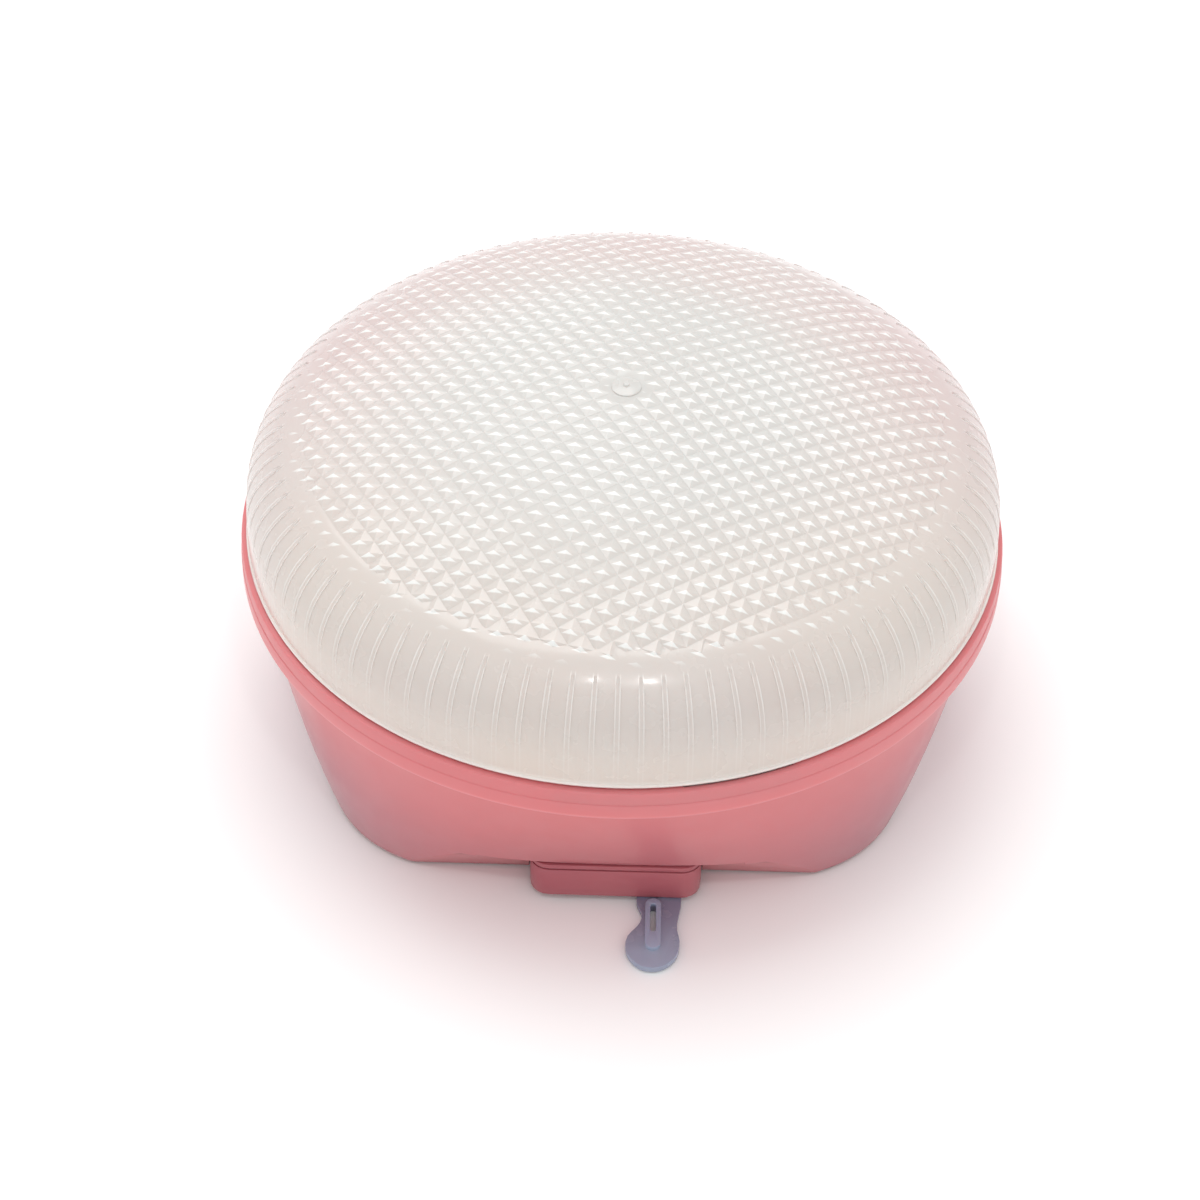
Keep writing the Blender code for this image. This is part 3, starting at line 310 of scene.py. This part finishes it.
class Finish:
    """A material made of nodes, read in Object coordinates."""

    def __init__(self, name):
        self.made = bpy.data.materials.new(name)
        self.made.use_nodes = True
        self.nodes = self.made.node_tree.nodes
        self.links = self.made.node_tree.links
        self.shader = self.nodes["Principled BSDF"]
        self.place = self.nodes.new("ShaderNodeTexCoord").outputs["Object"]

    def set(self, **values):
        for key, value in values.items():
            self.shader.inputs[key.replace("_", " ")].default_value = value
        return self

    def link(self, source, target):
        self.links.new(source, target)

    def noise(self, scale, detail=3.0, stretch=None):
        node = self.nodes.new("ShaderNodeTexNoise")
        node.inputs["Scale"].default_value = scale
        node.inputs["Detail"].default_value = detail
        self.link(self.mapped(stretch) if stretch else self.place, node.inputs["Vector"])
        return node.outputs["Fac"]

    def cloud(self, scale, low=0.0, high=1.0):
        """A soft cloudy value between low and high."""
        return self.spread(self.noise(scale), *CLOUD_RANGE, low, high)

    def mapped(self, scale):
        node = self.nodes.new("ShaderNodeMapping")
        node.inputs["Scale"].default_value = scale
        self.link(self.place, node.inputs["Vector"])
        return node.outputs["Vector"]

    def axis(self, letter):
        node = self.nodes.new("ShaderNodeSeparateXYZ")
        self.link(self.place, node.inputs[0])
        return node.outputs[letter]

    def math(self, operation, a, b=None, c=None, clamp=False):
        node = self.nodes.new("ShaderNodeMath")
        node.operation = operation
        node.use_clamp = clamp
        for i, value in enumerate((a, b, c)):
            if value is None:
                continue
            if isinstance(value, (int, float)):
                node.inputs[i].default_value = value
            else:
                self.link(value, node.inputs[i])
        return node.outputs[0]

    def spread(self, source, low, high, to_low=0.0, to_high=1.0):
        """Eases from one value to another while the source goes from low to high."""
        node = self.nodes.new("ShaderNodeMapRange")
        node.interpolation_type = "SMOOTHSTEP"
        self.link(source, node.inputs["Value"])
        for key, value in (("From Min", low), ("From Max", high),
                           ("To Min", to_low), ("To Max", to_high)):
            node.inputs[key].default_value = value
        return node.outputs["Result"]

    def mix(self, share, a, b):
        node = self.nodes.new("ShaderNodeMix")
        node.data_type = "RGBA"
        for key, value in (("Factor", share), ("A", a), ("B", b)):
            socket = next(s for s in node.inputs if s.name == key and s.type in
                          (("VALUE",) if key == "Factor" else ("RGBA",)))
            if isinstance(value, (int, float)):
                socket.default_value = value
            elif isinstance(value, tuple):
                socket.default_value = (*value, 1.0)
            else:
                self.link(value, socket)
        return next(s for s in node.outputs if s.type == "RGBA")

    def colour(self, source):
        self.link(source, self.shader.inputs["Base Color"])
        return self

    def rough(self, source):
        self.link(source, self.shader.inputs["Roughness"])
        return self

    def bump(self, source, strength, distance):
        node = self.nodes.new("ShaderNodeBump")
        node.inputs["Strength"].default_value = strength
        node.inputs["Distance"].default_value = distance
        self.link(source, node.inputs["Height"])
        before = self.shader.inputs["Normal"].links
        if before:
            self.link(before[0].from_socket, node.inputs["Normal"])
        self.link(node.outputs["Normal"], self.shader.inputs["Normal"])
        return self

    def grain(self, scale, strength):
        """The fine tooled grain of a mould."""
        return self.bump(self.noise(scale, detail=2.0), strength, GRAIN_DEPTH)


def moulded(name, light, dark, rough=(0.3, 0.42), grain=0.06, cloud=45.0, **values):
    """Moulded plastic: cloudy colour, a little uneven gloss and a fine tooled grain."""
    made = Finish(name).set(**values)
    made.colour(made.mix(made.cloud(cloud), dark, light))
    made.rough(made.cloud(cloud * 4, *rough))
    made.grain(2600.0, grain)
    return made


def metal(name, light, dark, rough=(0.22, 0.38), stretch=(300.0, 3000.0, 3000.0)):
    """Drawn or rolled metal with fine lines along its length."""
    made = Finish(name).set(Metallic=1.0)
    lines = made.noise(1.0, detail=4.0, stretch=stretch)
    made.colour(made.mix(made.spread(lines, 0.35, 0.65), dark, light))
    made.rough(made.cloud(160.0, *rough))
    made.bump(lines, 0.12, LINE_DEPTH)
    return made


def lilac_tab():
    """Glossy translucent lilac, lighter towards the tip and on the raised rib."""
    made = Finish("lilac_tab").set(
        IOR=PLASTIC_IOR, Subsurface_Weight=0.3, Subsurface_Radius=(0.002, 0.002, 0.003))
    tip = made.spread(made.axis("Y"), -0.062, -0.050, 1.0, 0.0)
    base = made.mix(tip, TAB_ROOT, TAB_TIP)
    raised = made.spread(made.axis("Z"), 0.0012, 0.0016, 0.0, 0.8)
    base = made.mix(raised, base, TAB_RIB)
    made.colour(made.mix(made.cloud(90.0, 0.0, 0.3), base, TAB_CLOUD))
    made.rough(made.cloud(300.0, 0.18, 0.3))
    made.grain(2600.0, 0.04)
    return made


def pink_shell():
    """Tinted translucent plastic with painted light: a painted glow high on the wall, painted shade
    low down and duller at the corners, a painted highlight under the rim, a painted shadow at the
    foot and painted shade on the front flat.
    """
    made = Finish("pink_shell").set(
        Subsurface_Weight=0.35, Subsurface_Radius=(0.005, 0.0018, 0.0020), Subsurface_Scale=1.0,
        IOR=PLASTIC_IOR, Coat_Weight=0.15, Coat_Roughness=0.18)
    # Painted light: a glow high on the wall and painted shade low down, deepest at the corners
    height = made.spread(made.axis("Z"), 0.004, 0.030)
    side = made.spread(made.math("ABSOLUTE", made.axis("X")), 0.018, 0.052)
    corner_shade = made.math("MULTIPLY", side, made.math("SUBTRACT", 1.0, height), clamp=True)
    tinted = made.mix(corner_shade, made.mix(height, PINK_LOW_SHADED, PINK_HIGH_LIT), PINK_CORNER_SHADE)
    # Painted highlight: a light line just under the rim
    line = made.math("ABSOLUTE", made.math("SUBTRACT", made.axis("Z"), 0.0290))
    tinted = made.mix(made.spread(line, 0.0005, 0.0011, 0.6, 0.0), tinted, PINK_RIM_HIGHLIGHT)
    # Painted shadow: a dark line along the foot's edge
    edge = made.spread(made.axis("Z"), 0.0003, 0.0009, 1.0, 0.0)
    tinted = made.mix(edge, tinted, PINK_FOOT_SHADOW)
    # Painted shade over the front flat, deeper towards its top under the lip
    plane = made.math("MULTIPLY_ADD", made.axis("Z"), FLAT_SLOPE,
                      (FLAT_FOOT_Y - FLAT_SLOPE * FOOT_Z) * MM)
    off = made.math("ABSOLUTE", made.math("SUBTRACT", made.axis("Y"), plane))
    flat = made.math("MULTIPLY", made.spread(off, 0.00006, 0.00012, 0.75, 0.0),
                     made.spread(made.axis("Z"), 0.00839, 0.00842, 1.0, 0.0))
    shade = made.mix(made.spread(made.axis("Z"), 0.0070, 0.0083), PINK_FLAT_SHADE, PINK_SHADE)
    tinted = made.mix(flat, tinted, shade)
    made.colour(made.mix(made.cloud(22.0, 0.0, 0.25), tinted, PINK_CLOUD))
    made.rough(made.cloud(120.0, 0.34, 0.46))
    made.grain(1800.0, 0.05)
    return made


def painted_prism_highlights(made):
    """A painted highlight: a light caret under each prism's peak, its arms lying along the ridges to
    left and right.
    """
    turn = math.radians(PRISM_TURN)
    x, y = made.axis("X"), made.axis("Y")
    shares = []
    for across, along in ((math.cos(turn), math.sin(turn)), (-math.sin(turn), math.cos(turn))):
        run = made.math("MULTIPLY_ADD", x, across / (PRISM_PITCH * MM),
                        made.math("MULTIPLY", y, along / (PRISM_PITCH * MM)))
        shares.append(made.math("SUBTRACT", made.math("FRACT", run), 0.5))
    sideways = made.math("MULTIPLY", made.math("SUBTRACT", shares[0], shares[1]), math.sqrt(0.5))
    forward = made.math("MULTIPLY", made.math("ADD", shares[0], shares[1]), -math.sqrt(0.5))
    reach = made.math("ABSOLUTE", made.math("ADD", sideways, HIGHLIGHT_SHIFT))
    brush = made.math("MULTIPLY_ADD", made.noise(2200.0), 0.05, -0.025)
    droop = made.math("ADD", made.math("MULTIPLY_ADD", reach, -HIGHLIGHT_DROOP, forward), brush)
    thick = made.math("MULTIPLY_ADD", reach, -HIGHLIGHT_THICK / HIGHLIGHT_REACH, HIGHLIGHT_THICK)
    inside = made.math("MULTIPLY", made.spread(droop, -0.03, 0.02),
                       made.spread(made.math("SUBTRACT", thick, droop), -0.02, 0.06))
    squares = made.math("ADD", made.math("MULTIPLY", x, x), made.math("MULTIPLY", y, y))
    radius = made.math("SQRT", squares)
    field = made.math("MULTIPLY", made.spread(radius, 0.0024, 0.0032),
                      made.spread(radius, 0.0505, 0.0522, 1.0, 0.0))
    return made.math("MULTIPLY", inside, field, clamp=True), radius


def milky_lens():
    """Milky translucent plastic, a little pinker at the back, with painted highlights: carets on the
    prisms, lines along the ribs and the bead at the foot.
    """
    made = Finish("milky_lens").set(
        Subsurface_Weight=0.5, Subsurface_Radius=(0.0020, 0.0016, 0.0015), Subsurface_Scale=1.0,
        IOR=PLASTIC_IOR, Coat_Weight=0.25, Coat_Roughness=0.08)
    prism_highlights, radius = painted_prism_highlights(made)
    pinker = made.math("MULTIPLY", made.spread(radius, 0.020, 0.056),
                       made.spread(made.axis("Y"), -0.035, 0.030))
    middle = made.mix(made.spread(radius, 0.020, 0.056), LENS_MIDDLE, LENS_SIDE)
    base = made.mix(pinker, middle, LENS_PINK)
    patch = made.spread(made.noise(26.0, detail=0.0), 0.35, 0.75, 0.0, 0.4)
    outer = made.math("MULTIPLY", patch, made.spread(radius, 0.046, 0.056))
    base = made.mix(outer, base, LENS_PATCH)
    base = made.mix(made.spread(made.axis("Z"), 0.036, 0.047, 0.6, 0.0), base, LENS_LOW)
    # Painted highlight on the bead at the lens's foot
    base = made.mix(made.spread(made.axis("Z"), 0.0350, 0.0362, 1.0, 0.0), base, LENS_BEAD_HIGHLIGHT)
    base = made.mix(made.cloud(28.0, 0.0, 0.35), base, LENS_CLOUD)
    # Painted highlights: light lines along the edges of the ribs
    turn = made.math("ARCTAN2", made.axis("Y"), made.axis("X"))
    share = made.math("FRACT", made.math("MULTIPLY_ADD", turn, RIBS / (2 * math.pi), 0.5))
    off = made.math("SUBTRACT", made.math("ABSOLUTE", made.math("SUBTRACT", share, 0.5)), 0.095)
    rib = made.spread(made.math("ABSOLUTE", off), 0.012, 0.045, 1.0, 0.0)
    rib = made.math("MULTIPLY", rib, made.spread(radius, 0.0525, 0.0532))
    rib = made.math("MULTIPLY", rib, made.spread(made.axis("Z"), 0.037, 0.052, 0.1, 0.6))
    base = made.mix(rib, base, RIB_HIGHLIGHT)
    # Painted highlights: the carets on the prisms
    made.colour(made.mix(prism_highlights, base, PRISM_HIGHLIGHT))
    made.rough(made.cloud(220.0, 0.2, 0.3))
    lines = made.math("SINE", made.math("MULTIPLY", turn, 312.0))
    low = made.spread(made.axis("Z"), 0.040, 0.052, 1.0, 0.0)
    made.bump(made.math("MULTIPLY", lines, low), 0.12, LINE_DEPTH)
    made.grain(900.0, 0.04)
    return made


def paint(piece, finish):
    piece.data.materials.clear()
    piece.data.materials.append(finish.made)


# ---------------------------------------------------------------- housing

def wall_share(z):
    """How far down the wall a height is: nothing at the rim, one at the foot."""
    bottom = FOOT_Z + FOOT_FILLET
    return min(max((RIM_FOOT - z) / (RIM_FOOT - bottom), 0.0), 1.0)


def wall_half(z):
    """Half the wall's width at a height."""
    return WALL_TOP_R + (FOOT_HALF - WALL_TOP_R) * wall_share(z) ** WALL_CURVE


def squared(piece):
    """Pushes each ring of a turned wall out from a circle to the wall's own squareness there."""
    for point in piece.data.vertices:
        x, y, z = point.co / MM
        radius = math.hypot(x, y)
        if z >= RIM_FOOT or not radius:
            continue
        power = 2 + (FOOT_POWER - 2) * wall_share(z) ** SQUARING_CURVE
        stretch = (abs(x / radius) ** power + abs(y / radius) ** power) ** (-1 / power)
        point.co = Vector((x * stretch, y * stretch, z)) * MM
    return piece


def wall_section(heights):
    """The wall's and rim's section: up the outside from the foot, over the rim, down inside."""
    bottom = FOOT_Z + FOOT_FILLET
    section = [(FOOT_HALF - FOOT_FILLET * (1 - math.sin(turn)),
                bottom - FOOT_FILLET * math.cos(turn)) for turn in quarter(6)]
    section += [(wall_half(z), z) for z in heights]
    section += [(RIM_R - RIM_EASE, RIM_FOOT + WELD)]
    section += [(RIM_R - RIM_EASE * (1 - math.sin(turn)),
                 RIM_FOOT + RIM_EASE * (1 - math.cos(turn))) for turn in quarter(5)[1:]]
    section += [(RIM_R - inset, z) for inset, z in RIM_LINE]
    section += [(RIM_R - inset, RIM_Z - fall) for inset, fall in RIM_TOP]
    section += [(RIM_BORE_R + BORE_EASE, RIM_Z), (RIM_BORE_R, RIM_Z - BORE_EASE),
                (RIM_BORE_R, LEDGE_Z), (WALL_TOP_R - WALL_T, LEDGE_Z)]
    section += [(wall_half(z) - WALL_T, z) for z in reversed(heights[:-1])]
    return section + [(FOOT_HALF - WALL_T, bottom), (FOOT_HALF - WALL_T, FOOT_Z), section[0]]


def make_front_panel(heights):
    """The leaning panel behind the front flat, trimmed to stay inside the wall."""
    rings = [(wall_half(z) - PANEL_INSET, z) for z in (CUT_LOW, *heights[1:PANEL_RING + 1])]
    envelope = squared(turned("envelope", [(0, CUT_LOW), *rings, (0, heights[PANEL_RING])]))
    lean = [(FLAT_FOOT_Y - 1, FOOT_Z), (FLAT_TOP_Y - 2, PANEL_TOP),
            (FLAT_TOP_Y + PANEL_T, PANEL_TOP), (FLAT_FOOT_Y + PANEL_T, FOOT_Z)]
    return combine(leaning("front_panel", lean, PANEL_X), "INTERSECT", envelope)


def front_cutters():
    """What the front loses: the leaning flat, the room under its lip and the switch's opening."""
    half = wall_half(FLAT_TOP_Z)
    lean = [(FLAT_FOOT_Y - FLAT_SLOPE * (FOOT_Z - CUT_LOW), CUT_LOW), (FLAT_TOP_Y, FLAT_TOP_Z),
            (CUT_FRONT, FLAT_TOP_Z), (CUT_FRONT, CUT_LOW)]
    opening = block("switch_opening", (BOX_X[0] - GAP, BOX_X[1] + GAP), (CUT_FRONT, BOX_BACK_Y),
                    (BOX_LOW, FLAT_TOP_Z), BOX_CORNER, top_edges_along_y)
    lip = squared(turned("flat_lip", [(half + out, FLAT_TOP_Z + up) for out, up in LIP],
                         steps=LIP_STEPS, sweep=LIP_SWEEP, start=LIP_START))
    return leaning("front_flat", lean, CUT_HALF_X), lip, opening


def make_housing():
    bottom = FOOT_Z + FOOT_FILLET
    heights = [bottom + (RIM_FOOT - bottom) * i / WALL_STEPS for i in range(1, WALL_STEPS + 1)]
    housing = squared(turned("housing_shell", wall_section(heights)))
    combine(housing, "UNION", make_front_panel(heights), solver="MANIFOLD")
    combine(housing, "DIFFERENCE", *front_cutters(), solver="MANIFOLD")
    pocket = block("pocket", (-COVER_HALF_X - GAP, COVER_HALF_X + GAP),
                   (-COVER_HALF_Y - GAP, COVER_HALF_Y + GAP), (CUT_LOW, COVER_T + GAP),
                   COVER_CORNER, upright_edges, segments=10)
    door_exit = block("door_exit", (-DOOR_HALF_X, DOOR_HALF_X), DOOR_EXIT_Y,
                      (DOOR_LOW, COVER_T + DOOR_LIFT), DOOR_CORNER, top_edges_along_y)
    combine(housing, "DIFFERENCE", pocket, door_exit, solver="MANIFOLD")
    for angle in LUG_ANGLES:
        low, high = angle - LUG_HALF - GROOVE_MARGIN, angle + LUG_HALF + GROOVE_MARGIN
        combine(housing, "DIFFERENCE",
                sector("groove", (RIM_BORE_R - 1, GROOVE_R), (low, high + LENS_TWIST), GROOVE_Z),
                sector("entry", (RIM_BORE_R - 2, LENS_R),
                       (low + LENS_TWIST, high + LENS_TWIST - ENTRY_LAP),
                       (GROOVE_Z[1] - ENTRY_LAP, RIM_Z + 1)), solver="MANIFOLD")
    smooth(housing)
    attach(housing, "root")
    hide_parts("housing")
    return housing


# ---------------------------------------------------------------- lens

def dome_z(radius, reach=LENS_R, rise=LENS_RISE, foot=LENS_FOOT_Z):
    """A dome's height at a radius."""
    return foot + rise * max(1 - (radius / reach) ** RADIAL_POWER, 0.0) ** (1 / RISE_POWER)


def dome_profile(reach, rise, foot, top_steps, side_steps):
    """Points from the top of a dome to its foot, even along the top and then down the side."""
    turn_r = reach * 0.86
    points = [(turn_r * i / top_steps, dome_z(turn_r * i / top_steps, reach, rise, foot))
              for i in range(top_steps + 1)]
    turn_up = (points[-1][1] - foot) / rise
    for i in range(1, side_steps + 1):
        up = turn_up * (1 - i / side_steps)
        points.append((reach * (1 - up ** RISE_POWER) ** (1 / RADIAL_POWER), foot + rise * up))
    return points


def outward(radius):
    """The dome's slope at a radius, as the outward normal's share across and up."""
    step = 0.05
    fall = (dome_z(radius + step) - dome_z(max(radius - step, 0.0))) / (
        radius + step - max(radius - step, 0.0))
    length = math.hypot(fall, 1.0)
    return -fall / length, 1 / length


def ramp(value, low, high):
    """Nothing below low, one above high and an easy curve between."""
    t = min(max((value - low) / (high - low), 0.0), 1.0)
    return t * t * (3 - 2 * t)


def draped(piece):
    """Lays a flat sheet over the dome: its height becomes a distance out from the dome."""
    for point in piece.data.vertices:
        x, y, out = point.co / MM
        radius = math.hypot(x, y)
        if out > PRISM_ROOT / 2:
            out -= PRISM_SINK * ramp(radius, *PRISM_FADE)
        across, up = outward(radius)
        shift = across * out / max(radius, 0.001)
        point.co = Vector((x + x * shift, y + y * shift, dome_z(radius) + up * out)) * MM
    return piece


def make_prisms():
    """A grid whose squares are poked up into pyramids, with a root below them, laid on the dome."""
    clear_selection()
    count = 2 * math.ceil(PRISM_REACH / PRISM_PITCH)
    bpy.ops.mesh.primitive_grid_add(x_subdivisions=count, y_subdivisions=count,
                                    size=count * PRISM_PITCH * MM)
    sheet = bpy.context.object
    sheet.name = "prisms"
    bpy.ops.object.mode_set(mode="EDIT")
    bpy.ops.transform.translate(value=(0, 0, PRISM_VALLEY * MM))
    bpy.ops.mesh.select_mode(type="FACE")
    bpy.ops.mesh.select_all(action="DESELECT")
    bpy.ops.object.mode_set(mode="OBJECT")
    for face in sheet.data.polygons:
        face.select = face.center.to_2d().length > PRISM_REACH * MM
    bpy.ops.object.mode_set(mode="EDIT")
    bpy.ops.mesh.delete(type="FACE")
    bpy.ops.mesh.select_all(action="SELECT")
    bpy.ops.mesh.extrude_region_move(
        TRANSFORM_OT_translate={"value": (0, 0, (PRISM_ROOT - PRISM_VALLEY) * MM)})
    bpy.ops.mesh.select_all(action="DESELECT")
    bpy.ops.object.mode_set(mode="OBJECT")
    for face in sheet.data.polygons:
        high = face.center.z > (PRISM_VALLEY - 0.01) * MM
        face.select = high and face.center.to_2d().length > PRISM_PITCH * 0.8 * MM
    bpy.ops.object.mode_set(mode="EDIT")
    bpy.ops.mesh.normals_make_consistent(inside=False)
    bpy.ops.mesh.poke(offset=0, center_mode="MEDIAN")
    bpy.ops.object.mode_set(mode="OBJECT")
    for point in sheet.data.vertices:
        shares = [abs(point.co[i] / MM / PRISM_PITCH % 1 - 0.5) for i in (0, 1)]
        if point.co.z > (PRISM_VALLEY - 0.01) * MM and max(shares) < 0.1:
            point.co.z = PRISM_TOP * MM
    sheet.data.transform(Matrix.Rotation(math.radians(PRISM_TURN), 4, "Z"))
    return close(draped(sheet))


def meridian(count):
    """Points and outward normals down the dome's side, evenly spaced along it."""
    fine = []
    for i in range(400):
        radius = RIB_START_R + (LENS_R - RIB_START_R) * math.sin(math.pi / 2 * i / 399)
        height = dome_z(radius)
        if height < RIB_END_Z:
            break
        fine.append(Vector((radius, height)))
    lengths = [0.0]
    for a, b in zip(fine, fine[1:]):
        lengths.append(lengths[-1] + (b - a).length)
    places = []
    for i in range(count + 1):
        goal = lengths[-1] * i / count
        k = next((j for j, value in enumerate(lengths) if value >= goal), len(fine) - 1)
        k = min(max(k, 1), len(fine) - 1)
        along = (fine[k] - fine[k - 1]).normalized()
        share = (goal - lengths[k - 1]) / (lengths[k] - lengths[k - 1])
        places.append((fine[k - 1].lerp(fine[k], share), Vector((-along.y, along.x))))
    return places


def make_ribs():
    """One low rib with a rounded top, laid down the dome's side and repeated all round."""
    places = meridian(RIB_STEPS)
    last = len(places) - 1
    clear_selection()
    bpy.ops.mesh.primitive_cube_add(size=1)
    rib = bpy.context.object
    bpy.ops.object.mode_set(mode="EDIT")
    bpy.ops.transform.resize(value=(last, 2 * RIB_HALF, RIB_HEIGHT - RIB_ROOT))
    bpy.ops.transform.translate(value=(last / 2, 0, (RIB_HEIGHT + RIB_ROOT) / 2))
    bpy.ops.mesh.select_mode(type="FACE")
    bpy.ops.mesh.select_all(action="DESELECT")
    bpy.ops.object.mode_set(mode="OBJECT")
    for face in rib.data.polygons:
        face.select = face.normal.z > ALIGNED
    bpy.ops.object.mode_set(mode="EDIT")
    bpy.ops.mesh.inset(thickness=RIB_EDGE)
    bpy.ops.transform.translate(value=(0, 0, -RIB_DIP))
    bpy.ops.object.mode_set(mode="OBJECT")
    pick_edges(rib, edges_along_x, unit=1)
    bpy.ops.mesh.subdivide(number_cuts=last - 1)
    bpy.ops.object.mode_set(mode="OBJECT")
    for point in rib.data.vertices:
        step, side, out = point.co
        low = int(min(max(step, 0), last - 1))
        (a, na), (b, nb) = places[low], places[low + 1]
        at, normal = a.lerp(b, step - low), na.lerp(nb, step - low).normalized()
        fade = 1 - ramp(step / last, *RIB_FADE)
        out = out if out < 0 else out * fade - RIB_SINK * (1 - fade)
        narrow = RIB_TIP if step < 0.01 else 1.0
        at = at + normal * out
        point.co = Vector((at.x, side * narrow, at.y)) * MM
    edit(rib)
    bpy.ops.mesh.spin(steps=RIBS, angle=2 * math.pi, dupli=True, center=(0, 0, 0), axis=(0, 0, 1))
    bpy.ops.object.mode_set(mode="OBJECT")
    return close(rib)


def make_lens():
    outer = []
    for radius, height in dome_profile(LENS_R, LENS_RISE, LENS_FOOT_Z, 48, 30):
        sink = RECESS_DEPTH * (1 - ramp(radius, *RECESS))
        across, up = outward(min(radius, LENS_R - 0.2))
        outer.append((max(radius - across * sink, 0.0), height - up * sink))
    outer[0] = (0.0, outer[0][1])
    outer = [point for point in outer if point[1] > LENS_FOOT_Z + BEAD_TOP]
    bead = [(LENS_R + out, LENS_FOOT_Z + up) for out, up in BEAD]
    skirt = [(SKIRT_R, LENS_FOOT_Z), (SKIRT_R, SKIRT_Z), (SKIRT_BORE_R, SKIRT_Z),
             (SKIRT_BORE_R, INNER_Z)]
    inner = dome_profile(INNER_R, INNER_RISE, INNER_FOOT_Z, 24, 16)[::-1]
    lens = turned("lens_dome", outer + bead + skirt + inner)
    gate = turned("gate", [(radius, dome_z(0) + up) for radius, up in GATE], steps=40)
    combine(lens, "UNION", make_prisms(), gate, make_ribs())
    for angle in LUG_ANGLES:
        combine(lens, "UNION", sector("lug", (SKIRT_R - LUG_ROOT, LUG_R),
                                      (angle - LUG_HALF, angle + LUG_HALF), LUG_Z))
    smooth(lens, 20)
    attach(lens, "lens")
    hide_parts("lens")
    return lens


# ---------------------------------------------------------------- everything else

def stands_for(piece, node):
    """Files a piece under the body and the finish of the node it stands for."""
    bodies = frame["record"]["behaviour"]["bodies"]
    body = next((name for name, held in bodies.items() if node in held), "root")
    part = next(part for part in frame["record"]["subparts"] if part["node"] == node)
    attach(piece, body)
    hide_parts(node)
    paint(piece, FINISHES[part["material_slot"]])
    return piece


def copy_of(node, ending):
    """A copy of a CAD piece with its triangles joined up into whole faces."""
    clear_selection()
    source = frame["nodes"][node]
    source.select_set(True)
    bpy.context.view_layer.objects.active = source
    bpy.ops.object.duplicate()
    bpy.ops.object.parent_clear(type="CLEAR")
    piece = bpy.context.object
    piece.name = f"{node}_{ending}"
    edit(piece)
    bpy.ops.mesh.remove_doubles(threshold=CAD_WELD * MM)
    bpy.ops.mesh.dissolve_limited(angle_limit=math.radians(0.5))
    bpy.ops.object.mode_set(mode="OBJECT")
    return piece


def eased(node, width, segments=2, angle=35):
    """A moulded or pressed piece: the CAD shape with its edges rounded."""
    piece = copy_of(node, "eased")
    use(piece, "BEVEL", limit_method="ANGLE", angle_limit=math.radians(angle), width=width * MM,
        segments=segments, miter_outer="MITER_ARC")
    close(piece, FINE_WELD)
    return stands_for(smooth(piece, 40), node)


def rounded_wire(node, thicken):
    """A wire or a coil: the CAD tube with its section made rounder, then back to its thickness."""
    piece = copy_of(node, "drawn")
    use(piece, "SUBSURF", levels=1, render_levels=1)
    close(piece, FINE_WELD)
    edit(piece)
    bpy.ops.transform.shrink_fatten(value=thicken * MM)
    bpy.ops.object.mode_set(mode="OBJECT")
    return stands_for(smooth(piece, 60), node)


# ---------------------------------------------------------------- camera, light and floor

def make_stage():
    camera = bpy.data.objects.new("camera", bpy.data.cameras.new("camera"))
    bpy.context.scene.collection.objects.link(camera)
    back = Vector(CAMERA_BACK).normalized()
    right = Vector(CAMERA_RIGHT)
    right = (right - back * right.dot(back)).normalized()
    place = Matrix((right, back.cross(right), back)).transposed().to_4x4()
    place.translation = Vector(CAMERA_PLACE) * MM
    camera.matrix_world = place
    camera.data.lens = FOCAL_LENGTH
    camera.data.sensor_width = SENSOR
    camera.data.shift_x, camera.data.shift_y = SHIFT
    camera.data.clip_start = 0.01
    bpy.context.scene.camera = camera

    clear_selection()
    bpy.ops.mesh.primitive_plane_add(size=6.0, location=(0, 0, -0.0001))
    floor = bpy.context.object
    floor.name = "floor"
    pale = Finish("pale_floor").set(Roughness=0.8)
    pale.colour(pale.mix(pale.noise(3.0), FLOOR_LOW, FLOOR_HIGH))
    floor.data.materials.append(pale.made)

    world = bpy.data.worlds.new("studio")
    bpy.context.scene.world = world
    bpy.context.scene.view_settings.view_transform = "Standard"
    world.use_nodes = True
    sky = world.node_tree.nodes["Background"]
    sky.inputs["Color"].default_value = (1.0, 1.0, 1.0, 1.0)
    sky.inputs["Strength"].default_value = WORLD_STRENGTH

    for name, (place, size, power) in LIGHTS.items():
        light = bpy.data.objects.new(name, bpy.data.lights.new(name, "AREA"))
        light.data.shape = "RECTANGLE"
        light.data.size, light.data.size_y = size
        light.data.energy = power
        light.location = place
        towards = Vector(AIM) - Vector(place)
        light.rotation_euler = towards.to_track_quat("-Z", "Y").to_euler()
        bpy.context.scene.collection.objects.link(light)


make_stage()
# The pink base's darker pink is painted shade: it stands under the housing's overhang
FINISHES = {"pink_shell": pink_shell(), "milky_lens": milky_lens(), "lilac_tab": lilac_tab(),
            "pink_base": moulded("pink_base", (0.44, 0.118, 0.138), (0.39, 0.097, 0.12),
                                 IOR=PLASTIC_IOR, Subsurface_Weight=0.2,
                                 Subsurface_Radius=(0.004, 0.0015, 0.0016))}
FINISHES.update((name, moulded(name, *tints)) for name, tints in PLASTICS.items())
FINISHES.update((name, metal(name, *tints)) for name, tints in METALS.items())
for part in frame["record"]["subparts"]:
    paint(frame["nodes"][part["node"]], FINISHES[part["material_slot"]])
paint(make_housing(), FINISHES["pink_shell"])
paint(make_lens(), FINISHES["milky_lens"])
for node, width in EASED.items():
    eased(node, width)
for node, thicken in WIRES.items():
    rounded_wire(node, thicken)
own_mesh(rounded_wire("return_spring", SPRING_FILL))

clear_selection()
